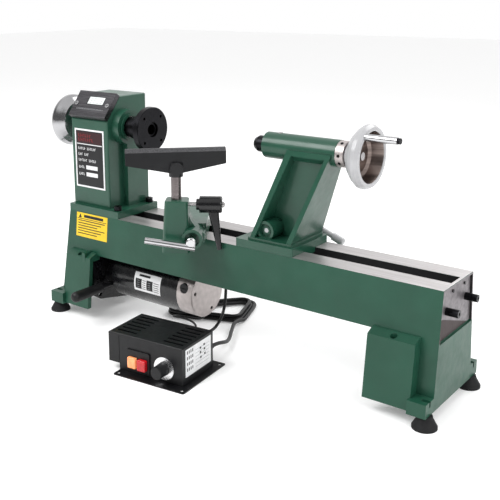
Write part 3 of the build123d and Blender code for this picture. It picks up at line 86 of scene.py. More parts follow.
class LatheLeads(bpy.types.PropertyGroup):
    mains: FloatProperty(
        name="Mains lead", description="Diameter of the mains lead", subtype="DISTANCE", default=6.2 * MM
    )
    control: FloatProperty(
        name="Control lead", description="Diameter of the lead into the bed", subtype="DISTANCE",
        default=5.0 * MM,
    )
    motor: FloatProperty(
        name="Motor lead", description="Diameter of the motor's lead", subtype="DISTANCE", default=3.6 * MM
    )
    turns: IntProperty(name="Hank turns", description="Turns of the mains lead in its hank", default=4)


class LatheStudio(bpy.types.PropertyGroup):
    lens: FloatProperty(name="Lens", description="Focal length in millimetres", default=60.41)
    key: FloatProperty(name="Key light", description="Power of the key light", subtype="POWER", default=46.0)
    fill: FloatProperty(
        name="Fill light", description="Power of the fill and back lights", subtype="POWER", default=16.0
    )
    sky: FloatProperty(name="Surround", description="Brightness of the surround", default=1.0)


def finish_settings():
    return bpy.context.scene.lathe_finish


def lead_settings():
    return bpy.context.scene.lathe_leads


def studio_settings():
    return bpy.context.scene.lathe_studio


# ---------------------------------------------------------------- material building blocks
class Surface:
    """A material under construction: its shader, and short ways to add texture to it."""

    def __init__(self, name, colour, roughness, metallic=0.0, coat=0.0):
        self.material = bpy.data.materials.new(name)
        self.material.use_nodes = True
        self.nodes = self.material.node_tree.nodes
        self.links = self.material.node_tree.links
        self.shader = self.nodes["Principled BSDF"]
        self.colour = (*colour, 1.0)
        self.shader.inputs["Base Color"].default_value = self.colour
        self.shader.inputs["Roughness"].default_value = roughness
        self.shader.inputs["Metallic"].default_value = metallic
        self.shader.inputs["Coat Weight"].default_value = coat
        self.shader.inputs["Coat Roughness"].default_value = 0.12
        self.shader.inputs["Specular IOR Level"].default_value = 0.34
        self.roughness = roughness
        self.place = self.nodes.new("ShaderNodeTexCoord")
        self.last_normal = None

    def noise(self, size, detail=3.0, stretch=(1.0, 1.0, 1.0)):
        """Noise whose grains are about size metres across, stretched along the axes."""
        mapping = self.nodes.new("ShaderNodeMapping")
        mapping.inputs["Scale"].default_value = [1.0 / (size * s) for s in stretch]
        self.links.new(self.place.outputs["Object"], mapping.inputs["Vector"])
        noise = self.nodes.new("ShaderNodeTexNoise")
        noise.inputs["Scale"].default_value = 1.0
        noise.inputs["Detail"].default_value = detail
        self.links.new(mapping.outputs["Vector"], noise.inputs["Vector"])
        return noise.outputs["Fac"]

    def spread(self, value, low, high, start=0.3, end=0.7):
        """The noise value, from start to end, stretched to run from low to high."""
        spread = self.nodes.new("ShaderNodeMapRange")
        spread.inputs["From Min"].default_value = start
        spread.inputs["From Max"].default_value = end
        spread.inputs["To Min"].default_value = low
        spread.inputs["To Max"].default_value = high
        self.links.new(value, spread.inputs["Value"])
        return spread.outputs["Result"]

    def blend_colour(self, factor, first, second):
        mix = self.nodes.new("ShaderNodeMix")
        mix.data_type = "RGBA"
        self.links.new(factor, mix.inputs[0])
        for socket, colour in ((mix.inputs[6], first), (mix.inputs[7], second)):
            if hasattr(colour, "is_linked"):
                self.links.new(colour, socket)
            else:
                socket.default_value = (*colour[:3], 1.0)
        return mix.outputs[2]

    def blend_value(self, factor, first, second):
        mix = self.nodes.new("ShaderNodeMix")
        mix.data_type = "FLOAT"
        self.links.new(factor, mix.inputs[0])
        for socket, value in ((mix.inputs[2], first), (mix.inputs[3], second)):
            if hasattr(value, "is_linked"):
                self.links.new(value, socket)
            else:
                socket.default_value = value
        return mix.outputs[0]

    def mottle(self, size, amount):
        """Uneven tone, darker and lighter by amount."""
        dark = [c * (1.0 - amount) for c in self.colour[:3]]
        light = [min(1.0, c * (1.0 + amount)) for c in self.colour[:3]]
        tone = self.blend_colour(self.spread(self.noise(size), 0.0, 1.0), dark, light)
        self.links.new(tone, self.shader.inputs["Base Color"])

    def wear(self, size, amount, stretch=(1.0, 1.0, 1.0)):
        """Uneven gloss about the mean roughness."""
        low, high = max(0.02, self.roughness - amount), min(1.0, self.roughness + amount)
        gloss = self.spread(self.noise(size, 4.0, stretch), low, high)
        self.links.new(gloss, self.shader.inputs["Roughness"])

    def relief(self, size, depth, detail=2.0, stretch=(1.0, 1.0, 1.0)):
        """Bump of a grain size and depth in metres, added to any earlier bump."""
        bump = self.nodes.new("ShaderNodeBump")
        bump.inputs["Distance"].default_value = depth
        bump.inputs["Strength"].default_value = 1.0
        self.links.new(self.noise(size, detail, stretch), bump.inputs["Height"])
        if self.last_normal:
            self.links.new(self.last_normal, bump.inputs["Normal"])
        self.last_normal = bump.outputs["Normal"]
        self.links.new(self.last_normal, self.shader.inputs["Normal"])

    def compare(self, value, limit, operation="GREATER_THAN"):
        test = self.nodes.new("ShaderNodeMath")
        test.operation = operation
        self.links.new(value, test.inputs[0])
        test.inputs[1].default_value = limit
        return test.outputs["Value"]

    def both(self, first, second, operation="MULTIPLY"):
        joined = self.nodes.new("ShaderNodeMath")
        joined.operation = operation
        self.links.new(first, joined.inputs[0])
        self.links.new(second, joined.inputs[1])
        return joined.outputs["Value"]

    def scaled_sum(self, value, factor, addend):
        """value * factor + addend, where addend is another value."""
        total = self.nodes.new("ShaderNodeMath")
        total.operation = "MULTIPLY_ADD"
        self.links.new(value, total.inputs[0])
        total.inputs[1].default_value = factor
        self.links.new(addend, total.inputs[2])
        return total.outputs["Value"]

    def size_of(self, value):
        size = self.nodes.new("ShaderNodeMath")
        size.operation = "ABSOLUTE"
        self.links.new(value, size.inputs[0])
        return size.outputs["Value"]

    def all_of(self, *tests):
        joined = tests[0]
        for test in tests[1:]:
            joined = self.both(joined, test)
        return joined

    def radius_about(self, axis, place):
        """Distance from an axis along X or Y (axis 0 or 1) through a place."""
        keep = [1.0, 1.0, 1.0]
        keep[axis] = 0.0
        reach = self.nodes.new("ShaderNodeVectorMath")
        reach.operation = "SUBTRACT"
        self.links.new(self.place.outputs["Object"], reach.inputs[0])
        reach.inputs[1].default_value = place
        flat = self.nodes.new("ShaderNodeVectorMath")
        flat.operation = "MULTIPLY"
        self.links.new(reach.outputs["Vector"], flat.inputs[0])
        flat.inputs[1].default_value = keep
        length = self.nodes.new("ShaderNodeVectorMath")
        length.operation = "LENGTH"
        self.links.new(flat.outputs["Vector"], length.inputs[0])
        return length.outputs["Value"]

    def axes(self):
        """X, Y and Z of the place on the part, in metres."""
        split = self.nodes.new("ShaderNodeSeparateXYZ")
        self.links.new(self.place.outputs["Object"], split.inputs["Vector"])
        return split.outputs["X"], split.outputs["Y"], split.outputs["Z"]

    def facing(self):
        """X, Y and Z of the surface's own direction."""
        split = self.nodes.new("ShaderNodeSeparateXYZ")
        self.links.new(self.place.outputs["Normal"], split.inputs["Vector"])
        return split.outputs["X"], split.outputs["Y"], split.outputs["Z"]


MATERIALS = {}


def material(maker):
    """Keeps one copy of each material that the functions below make."""

    def once():
        if maker.__name__ not in MATERIALS:
            MATERIALS[maker.__name__] = maker()
        return MATERIALS[maker.__name__]

    return once


def paint_surface(name, colour, roughness):
    """Satin machine paint over a cast surface."""
    paint = Surface(name, colour, roughness, coat=0.25)
    paint.mottle(0.05, 0.10)
    paint.wear(0.02, 0.06)
    paint.relief(0.012, 0.00025)
    paint.relief(0.0016, 0.00003, 3.0)
    return paint


@material
def casting_paint():
    finish = finish_settings()
    return paint_surface("casting_paint", finish.green, finish.paint_roughness).material


STEEL = (0.44, 0.43, 0.43)
# Painted shadow on the bed's milled right end: a dark brown triangle, END_SHADE, below the diagonal line
# that the next two numbers place.
END_SHADOW_EDGE_Z = 127.0 * MM
END_SHADOW_EDGE_SLOPE = 0.337
END_SHADE = (0.040, 0.026, 0.026)


BED_SLOPE = 0.089
BED_HALF = 50.8 * MM
BED_INNER = 44.3 * MM
RIM_INNER = 48.4 * MM


def mask_over(surface, mask, ground, rough, metallic=0.85):
    """Another surface in place of the first wherever the mask is one."""
    tone = surface.shader.inputs["Base Color"].links[0].from_socket
    gloss = surface.shader.inputs["Roughness"].links[0].from_socket
    surface.links.new(surface.blend_colour(mask, tone, ground), surface.shader.inputs["Base Color"])
    surface.links.new(surface.blend_value(mask, gloss, rough), surface.shader.inputs["Roughness"])
    metal_link = surface.shader.inputs["Metallic"].links
    before = metal_link[0].from_socket if metal_link else 0.0
    surface.links.new(surface.blend_value(mask, before, metallic), surface.shader.inputs["Metallic"])


@material
def bed_iron():
    """Painted iron with ground ways on top and a milled right end, with painted shade inside the bed, on the
    end rim's inner walls and in a triangle low on the end.
    """
    finish = finish_settings()
    bed = paint_surface("bed_iron", finish.green, finish.paint_roughness)
    bed.shader.inputs["Coat Weight"].default_value = 0.0
    x, y, z = bed.axes()
    nx, _, nz = bed.facing()
    lean = bed.scaled_sum(z, BED_SLOPE, bed.size_of(y))
    below_ways = bed.compare(z, BED_TOP - 0.4 * MM, "LESS_THAN")
    # Painted shade: the inside of the bed and the slot between the ways made near black.
    inside = bed.all_of(
        below_ways, bed.compare(lean, BED_INNER + BED_SLOPE * BED_TOP, "LESS_THAN"),
        bed.compare(x, BED_LOW.x + 8 * MM), bed.compare(x, BED_HIGH.x - 3.5 * MM, "LESS_THAN"),
    )
    mask_over(bed, inside, (0.007, 0.007, 0.008), 0.6, 0.0)
    # Painted shade: the inner walls of the recessed rim at the bed's right end made near black.
    rim_shade = bed.all_of(
        bed.compare(z, 112 * MM), bed.compare(z, BED_TOP - 2 * MM, "LESS_THAN"),
        bed.compare(lean, RIM_INNER + BED_SLOPE * BED_TOP, "LESS_THAN"),
        bed.compare(x, BED_HIGH.x - 12 * MM), bed.compare(nx, 0.5, "LESS_THAN"),
    )
    mask_over(bed, rim_shade, (0.012, 0.010, 0.010), 0.5, 0.0)
    grinding = bed.noise(0.0012, 2.0, (60.0, 1.0, 1.0))
    ground = bed.blend_colour(bed.spread(grinding, 0.0, 1.0), (0.36, 0.34, 0.34), (0.58, 0.56, 0.56))
    ways = bed.both(bed.compare(z, BED_TOP - 0.4 * MM), bed.compare(nz, 0.9))
    mask_over(bed, ways, ground, bed.spread(grinding, 0.30, 0.46))
    end_face = bed.both(bed.compare(x, BED_HIGH.x - 16 * MM), bed.compare(nx, 0.9))
    # Painted shadow: the milled end face below the diagonal line is coloured END_SHADE, a darker brown
    # triangle.
    above = bed.compare(bed.scaled_sum(y, END_SHADOW_EDGE_SLOPE, z), END_SHADOW_EDGE_Z)
    milling = bed.spread(bed.noise(0.006, 4.0), 0.0, 1.0)
    milled = bed.blend_colour(milling, (0.16, 0.15, 0.16), (0.27, 0.25, 0.26))
    below_top = bed.both(end_face, bed.compare(z, 112 * MM))
    shade = bed.blend_colour(above, END_SHADE, milled)
    mask_over(bed, below_top, shade, 0.5)
    return bed.material


def black_surface(name, roughness, grain, depth, coat=0.0):
    black = Surface(name, finish_settings().black, roughness, coat=coat)
    black.mottle(0.03, 0.25)
    black.wear(0.012, 0.07)
    black.relief(grain, depth, 3.0)
    return black.material


@material
def powder_coat():
    return black_surface("powder_coat", 0.42, 0.0009, 0.00004)


@material
def gloss_black():
    return black_surface("gloss_black", 0.28, 0.004, 0.00003, coat=0.3)


@material
def moulded_black():
    return black_surface("moulded_black", 0.48, 0.0006, 0.00002)


@material
def foot_rubber():
    return black_surface("foot_rubber", 0.72, 0.0012, 0.00005)


@material
def belt_rubber():
    return black_surface("belt_rubber", 0.80, 0.0020, 0.00010)


@material
def lead_sheath():
    sheath = Surface("lead_sheath", finish_settings().sheath, 0.40)
    sheath.mottle(0.02, 0.2)
    sheath.wear(0.008, 0.08)
    sheath.relief(0.0015, 0.00002)
    return sheath.material


def metal_surface(name, colour, roughness, grain=0.0012, stretch=(1.0, 1.0, 1.0), depth=0.00001, coat=0.0):
    metal = Surface(name, colour, roughness, 1.0, coat)
    metal.mottle(0.02, 0.06)
    metal.wear(grain * 3.0, roughness * 0.35, stretch)
    metal.relief(grain, depth, 2.0, stretch)
    return metal.material


@material
def polished_chrome():
    return metal_surface("polished_chrome", (0.50, 0.50, 0.51), 0.14, 0.01, depth=0.00002)


@material
def handwheel_chrome():
    return wheel_surface("handwheel_chrome").material


def wheel_surface(name):
    wheel = Surface(name, (0.40, 0.40, 0.41), 0.16, 1.0)
    wheel.mottle(0.03, 0.08)
    wheel.wear(0.004, 0.05, (1.0, 6.0, 6.0))
    wheel.relief(0.0007, 0.000004, 2.0, (1.0, 12.0, 12.0))
    wheel.relief(0.02, 0.00005)
    return wheel


@material
def dished_chrome():
    """Chrome whose dish is left as turned metal."""
    wheel = wheel_surface("dished_chrome")
    low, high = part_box("tailstock_handwheel")
    facing_tail = wheel.facing()[0]
    reach = wheel.radius_about(0, (0.0, (low.y + high.y) / 2, SPINDLE_Z))
    x = wheel.axes()[0]
    edge = (high.z - low.z) / 2
    dish = wheel.all_of(
        wheel.compare(reach, edge - 9 * MM, "LESS_THAN"), wheel.compare(x, low.x + 6 * MM),
        wheel.compare(facing_tail, -0.2),
    )
    turning = wheel.spread(wheel.noise(0.004, 2.0, (30.0, 30.0, 1.0)), 0.0, 1.0)
    rings = wheel.blend_colour(turning, (0.10, 0.080, 0.072), (0.26, 0.21, 0.19))
    mask_over(wheel, dish, rings, 0.30, 1.0)
    return wheel.material


TAIL_CLAMP_Z = 212 * MM
SCREW_HEAD = 3.6 * MM


@material
def lever_chrome():
    """Chrome lever whose painted shaft end has a bright screw in it."""
    lever = Surface("lever_chrome", (0.46, 0.46, 0.47), 0.16, 1.0)
    lever.mottle(0.02, 0.06)
    lever.wear(0.008, 0.04)
    lever.relief(0.006, 0.00002)
    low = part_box("tail_clamp_lever")[0]
    end_low, end_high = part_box("tail_clamp_bolt")
    centre = ((end_low.x + end_high.x) / 2, 0.0, TAIL_CLAMP_Z)
    reach = lever.radius_about(1, centre)
    near_front = lever.compare(lever.axes()[1], low.y + 20 * MM, "LESS_THAN")
    painted = lever.all_of(lever.compare(reach, SCREW_HEAD), near_front)
    mask_over(lever, painted, finish_settings().green, 0.4, 0.0)
    return lever.material


@material
def turned_steel():
    return metal_surface("turned_steel", STEEL, 0.30, 0.0006, (1.0, 8.0, 8.0))


@material
def dial_silver():
    return metal_surface("dial_silver", (0.82, 0.82, 0.83), 0.28, 0.0006)


@material
def post_steel():
    return metal_surface("post_steel", (0.16, 0.14, 0.14), 0.32, 0.0006, (8.0, 8.0, 1.0))


@material
def black_oxide():
    return metal_surface("black_oxide", (0.016, 0.016, 0.018), 0.36, 0.0008, (1.0, 6.0, 6.0))


@material
def oiled_black_iron():
    return metal_surface("oiled_black_iron", (0.030, 0.031, 0.034), 0.42, 0.0015)


@material
def cast_aluminium():
    cast = Surface("cast_aluminium", (0.46, 0.42, 0.41), 0.42, 0.9)
    cast.mottle(0.008, 0.12)
    cast.wear(0.004, 0.10)
    cast.relief(0.0015, 0.00005, 3.0)
    return cast.material


@material
def brushed_face():
    return metal_surface("brushed_face", (0.085, 0.082, 0.088), 0.30, 0.0005, (40.0, 1.0, 1.0))


@material
def rest_iron():
    """Black iron with a filed grey ledge along its top."""
    rest = Surface("rest_iron", (0.005, 0.0053, 0.0065), 0.36)
    rest.mottle(0.03, 0.2)
    rest.wear(0.01, 0.06)
    rest.relief(0.006, 0.00012, 3.0)
    ledge_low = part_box("tool_rest")[1].z - 9 * MM
    ledge = rest.both(rest.compare(rest.axes()[2], ledge_low), rest.compare(rest.facing()[2], 0.4))
    filing = rest.spread(rest.noise(0.002, 3.0), 0.0, 1.0)
    filed = rest.blend_colour(filing, (0.055, 0.055, 0.060), (0.13, 0.13, 0.135))
    mask_over(rest, ledge, filed, 0.34)
    return rest.material


def plain_surface(name, colour, roughness, coat=0.0, spread=0.06):
    """Printed film or plastic, with faint unevenness."""
    film = Surface(name, colour, roughness, coat=coat)
    film.mottle(0.01, spread)
    film.wear(0.006, 0.05)
    film.relief(0.0012, 0.000008)
    return film.material


@material
def print_white():
    return plain_surface("print_white", (0.74, 0.74, 0.75), 0.35)


@material
def print_black():
    return plain_surface("print_black", (0.005, 0.005, 0.006), 0.35)


@material
def print_red():
    return plain_surface("print_red", (0.026, 0.0035, 0.005), 0.35)


@material
def print_scarlet():
    return plain_surface("print_scarlet", (0.20, 0.012, 0.016), 0.35)


@material
def print_yellow():
    return plain_surface("print_yellow", finish_settings().sticker, 0.38)


@material
def print_grey():
    return plain_surface("print_grey", (0.30, 0.31, 0.32), 0.4)


@material
def display_glass():
    return plain_surface("display_glass", (0.70, 0.74, 0.73), 0.15, coat=0.6)


@material
def key_red():
    red = Surface("key_red", (0.46, 0.006, 0.010), 0.22, coat=0.6)
    red.mottle(0.006, 0.25)
    red.wear(0.006, 0.05)
    red.relief(0.002, 0.00001)
    # Painted glow: faint emission on the translucent red key, though it is no lamp.
    red.shader.inputs["Emission Color"].default_value = (0.5, 0.004, 0.008, 1.0)
    red.shader.inputs["Emission Strength"].default_value = 0.12
    return red.material


@material
def key_painted_highlight():
    # Painted highlight: the side of the red rocker that faces the light, made as a separate orange key, with
    # a faint painted glow from its emission.
    orange = Surface("key_painted_highlight", (0.85, 0.30, 0.12), 0.22, coat=0.6)
    orange.mottle(0.005, 0.30)
    orange.wear(0.006, 0.05)
    orange.relief(0.002, 0.00001)
    orange.shader.inputs["Emission Color"].default_value = (1.0, 0.34, 0.12, 1.0)
    orange.shader.inputs["Emission Strength"].default_value = 0.35
    return orange.material


NODE_FINISH = {
    "bed_casting": bed_iron,
    "rubber_feet": foot_rubber,
    "bed_stop_screws": black_oxide,
    "end_cover": powder_coat,
    "cover_hinges": powder_coat,
    "cover_latch": moulded_black,
    "headstock_casting": casting_paint,
    "headstock_bolts": black_oxide,
    "headstock_back_door": powder_coat,
    "nameplate": print_white,
    "display_case": brushed_face,
    "display_window": display_glass,
    "spindle_bearings": turned_steel,
    "bearing_cap": casting_paint,
    "spindle": black_oxide,
    "spindle_pulley": cast_aluminium,
    "drive_belt": belt_rubber,
    "faceplate": black_oxide,
    "outboard_handwheel": handwheel_chrome,
    "motor_plate": gloss_black,
    "motor_front_bell": gloss_black,
    "motor_can": gloss_black,
    "motor_end_bell": cast_aluminium,
    "brush_caps": moulded_black,
    "motor_rotor": turned_steel,
    "motor_pulley": cast_aluminium,
    "motor_pivot_bolt": gloss_black,
    "tension_handle": moulded_black,
    "tailstock_casting": casting_paint,
    "quill": black_oxide,
    "quill_key_screw": turned_steel,
    "lead_screw": turned_steel,
    "thrust_collar": cast_aluminium,
    "tailstock_handwheel": dished_chrome,
    "crank_pin": black_oxide,
    "crank_handle": polished_chrome,
    "tail_clamp_lever": lever_chrome,
    "tail_clamp_bolt": turned_steel,
    "tail_clamp_plate": oiled_black_iron,
    "banjo": casting_paint,
    "banjo_clamp_handle": polished_chrome,
    "banjo_clamp_bolt": turned_steel,
    "banjo_clamp_plate": oiled_black_iron,
    "rest_lock_stud": turned_steel,
    "rest_lock_lever": gloss_black,
    "tool_rest_post": post_steel,
    "tool_rest": rest_iron,
    "control_box_base": powder_coat,
    "control_box_cover": powder_coat,
    "switch_bezel": moulded_black,
    "start_button": key_painted_highlight,
    "stop_button": key_red,
    "speed_dial_ring": dial_silver,
    "speed_knob": moulded_black,
    "cord_glands": moulded_black,
    "mains_plug": moulded_black,
}


# ---------------------------------------------------------------- mesh building blocks
def mesh_piece(name, bm, body, slot, *finishes):
    """Turns a bmesh into an object that rides on a body."""
    bmesh.ops.recalc_face_normals(bm, faces=bm.faces)
    data = bpy.data.meshes.new(name)
    bm.to_mesh(data)
    bm.free()
    piece = bpy.data.objects.new(name, data)
    bpy.context.scene.collection.objects.link(piece)
    for finish in finishes:
        data.materials.append(finish())
    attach(piece, body)
    return piece


def plane_matrix(origin, across, up):
    """Frame of a flat surface: its first axis across, its second up, its third outward."""
    across = Vector(across).normalized()
    outward = across.cross(Vector(up)).normalized()
    up = outward.cross(across)
    return Matrix((
        (across.x, up.x, outward.x, origin[0]),
        (across.y, up.y, outward.y, origin[1]),
        (across.z, up.z, outward.z, origin[2]),
        (0, 0, 0, 1),
    ))


def add_block(bm, place, low, high, finish=0):
    """Box between two corners given in the frame place, in millimetres."""
    centre = [(a + b) / 2 * MM for a, b in zip(low, high)]
    size = [abs(b - a) * MM for a, b in zip(low, high)]
    middle = place @ Matrix.Translation(centre) @ Matrix.Diagonal((*size, 1))
    made = bmesh.ops.create_cube(bm, size=1.0, matrix=middle)
    for face in {face for vert in made["verts"] for face in vert.link_faces}:
        face.material_index = finish


def add_disc(bm, place, centre, radius, height, finish=0, lift=0.0, sides=24):
    """Short cylinder standing on the plane place, in millimetres."""
    middle = Matrix.Translation((centre[0] * MM, centre[1] * MM, (lift + height / 2) * MM))
    made = bmesh.ops.create_cone(
        bm, cap_ends=True, segments=sides, radius1=radius * MM, radius2=radius * MM, depth=height * MM,
        matrix=place @ middle,
    )
    faces = {face for vert in made["verts"] for face in vert.link_faces}
    for face in faces:
        face.material_index = finish
        face.smooth = len(face.verts) == 4


def glyphs(bm, place, start, count, size, finish, lift):
    """Row of small upright marks that stand in for lettering, in millimetres."""
    for index in range(count):
        x = start[0] + index * size[0]
        bar = size[0] * 0.28
        add_block(bm, place, (x, start[1], lift), (x + bar, start[1] + size[1], lift + 0.08), finish)
        level = start[1] + size[1] * (0.0, 0.4, 0.78)[index % 3]
        end = (x + size[0] * 0.68, level + size[1] * 0.2, lift + 0.08)
        add_block(bm, place, (x, level, lift), end, finish)


# ---------------------------------------------------------------- leads
def lead_curve(name, points, diameter):
    """Smooth round lead whose control points are the route's points."""
    data = bpy.data.curves.new(name, "CURVE")
    data.dimensions = "3D"
    data.bevel_depth = diameter / 2
    data.bevel_resolution = 5
    data.resolution_u = 10
    data.use_fill_caps = True
    spline = data.splines.new("NURBS")
    spline.points.add(len(points) - 1)
    for point, place in zip(spline.points, points):
        point.co = (*place, 1.0)
    spline.order_u = 3
    spline.use_endpoint_u = True
    data.materials.append(lead_sheath())
    lead = bpy.data.objects.new(name, data)
    bpy.context.scene.collection.objects.link(lead)
    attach(lead, "bed")
    return lead


def curve_length(lead):
    """Length of the lead's own line, without its thickness."""
    data = lead.data.copy()
    data.bevel_depth = 0.0
    line = bpy.data.objects.new("measure", data)
    mesh = bpy.data.meshes.new_from_object(line)
    places = [vert.co.copy() for vert in mesh.vertices]
    bpy.data.objects.remove(line)
    bpy.data.curves.remove(data)
    bpy.data.meshes.remove(mesh)
    return sum((b - a).length for a, b in zip(places, places[1:]))


def metres(points):
    return [Vector(point) * MM for point in points]


BOX_TURN = math.radians(6.0)
BOX_CORNER = Vector((26.0, -183.5, 0.0))
BOX_DEPTH = 84.0
GLAND_LENGTH = 24.0


def box_point(across, back, height):
    """Point in millimetres from the control box's own front right corner."""
    right = Vector((math.cos(BOX_TURN), math.sin(BOX_TURN), 0))
    behind = Vector((-math.sin(BOX_TURN), math.cos(BOX_TURN), 0))
    return BOX_CORNER + right * across + behind * back + Vector((0, 0, height))


def gland_exit(across, height):
    return box_point(across, BOX_DEPTH + GLAND_LENGTH, height)


CONTROL_ROUTE = (
    gland_exit(-40, 36), (-26.4, -66, 33), (-28.5, -48, 29), (-30.6, -31, 30), (-32.4, -16, 38),
    (-33.4, -4.5, 52), (-33.8, 0.2, 72), (-34.2, 1.6, 94), (-37, 6, 114), (-44, 16, 131),
    (-51, 26, 141.5), (-56.5, 33, 151),
    (-60, 38, 162),
)
MOTOR_ROUTE = (
    (-88, 14, 37), (-88.5, 14.2, 27), (-93, 15.5, 17), (-104, 17.5, 10.5), (-119, 17, 8.5), (-134, 12, 10),
    (-143, 0.5, 13), (-139, -12.5, 17), (-126, -19.5, 21), (-109, -21, 24), (-90, -24, 25), (-72, -32, 25),
    (-60, -46, 26), (-53.5, -64, 28.5), gland_exit(-66, 30),
)
MAINS_ROUTE = (
    gland_exit(-16, 22), (-2.4, -62, 20.5), (-4, -45, 15.5), (-9, -28, 10), (-18, -10, 7.5),
    (-29, 8, 7), (-39, 26, 8),
    (-48.0, 43, 9.0), (-50.6, 58, 7.5), (-51.0, 68, 5.5),
)
HANK_CORNERS = ((-75.0, 75.0), (-95.0, 130.0), (-165.0, 40.0))
HANK_RINGS = ((24.0, 4.0), (17.2, 3.6), (10.4, 3.8), (14.0, 10.4), (20.8, 10.6))
CORNER_STEPS = 5
JOIN_STEP = 3


def hank_turns(turns):
    """Points of the lead round three corners, one ring after another, in millimetres."""
    points = []
    count = len(HANK_CORNERS)
    steps = turns * count * CORNER_STEPS
    for turn in range(turns):
        for index, corner in enumerate(HANK_CORNERS):
            following = Vector(HANK_CORNERS[(index + 1) % count]) - Vector(corner)
            coming = Vector(corner) - Vector(HANK_CORNERS[index - 1])
            start = math.atan2(coming.y, coming.x) - math.pi / 2
            end = math.atan2(following.y, following.x) - math.pi / 2
            sweep = (end - start) % (2 * math.pi)
            for step in range(CORNER_STEPS):
                done = (turn * count + index) * CORNER_STEPS + step
                along = done / steps * turns
                ring = min(int(along), len(HANK_RINGS) - 2)
                part = along - ring
                ease = max(0.0, min(1.0, (part - 0.55) / 0.4))
                (r0, z0), (r1, z1) = HANK_RINGS[ring], HANK_RINGS[ring + 1]
                radius, height = r0 + (r1 - r0) * ease, z0 + (z1 - z0) * ease
                angle = start + sweep * step / (CORNER_STEPS - 1)
                on_corner = 0 < step < CORNER_STEPS - 1
                out = radius / math.cos(sweep / (CORNER_STEPS - 1) / 2) if on_corner else radius
                points.append((corner[0] + out * math.cos(angle), corner[1] + out * math.sin(angle), height))
    return points


class LATHE_OT_leads(bpy.types.Operator):
    """Lays the three leads and the mains lead's hank"""

    bl_idname = "lathe.leads"
    bl_label = "Leads"

    def execute(self, context):
        leads = lead_settings()
        control = lead_curve("control_lead_flex", metres(CONTROL_ROUTE), leads.control)
        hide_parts("control_lead")
        curve_length(control)
        motor = lead_curve("motor_lead_flex", metres(MOTOR_ROUTE), leads.motor)
        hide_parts("motor_lead")
        curve_length(motor)
        first, last = Vector(HANK_CORNERS[1]), Vector(HANK_CORNERS[2])
        side = (last - first).normalized()
        out = Vector((side.y, -side.x))
        plug_root = (first + last) / 2 + out * 28.0
        front = (Vector(HANK_CORNERS[0]) - last).normalized()
        front_out = Vector((front.y, -front.x))
        tail = [
            (*(last + front * 26 + front_out * 20), 11.5),
            (*(last + front * 46 + front_out * 19), 13.5),
            (*(last + front * 62 + front_out * 8), 16.5),
            (*(plug_root - out * 46 + side * -5), 17.0),
            (*(plug_root - out * 32 + side * -1), 17.0),
            (*(plug_root - out * 18), 17.0),
            (*(plug_root - out * 8), 15.0),
            (*plug_root, 13.5),
        ]
        route = list(MAINS_ROUTE) + hank_turns(leads.turns)[JOIN_STEP:] + tail
        mains = lead_curve("mains_lead_flex", metres(route), leads.mains)
        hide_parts("mains_lead", "mains_hank")
        curve_length(mains)
        for lead in (control, motor, mains):
            print(lead.name, "metres", round(curve_length(lead), 3))
        return {"FINISHED"}


# ---------------------------------------------------------------- finishes
class LATHE_OT_finishes(bpy.types.Operator):
    """Gives every part of the machine its finish"""

    bl_idname = "lathe.finishes"
    bl_label = "Finishes"

    def execute(self, context):
        for name, finish in NODE_FINISH.items():
            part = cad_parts[name]
            if not part.material_slots:
                part.data.materials.append(None)
            for place in part.material_slots:
                place.material = finish()
        return {"FINISHED"}


# ---------------------------------------------------------------- plates and stickers
STICKER_X = -327.0 * MM
STICKER_Z = 161.0 * MM


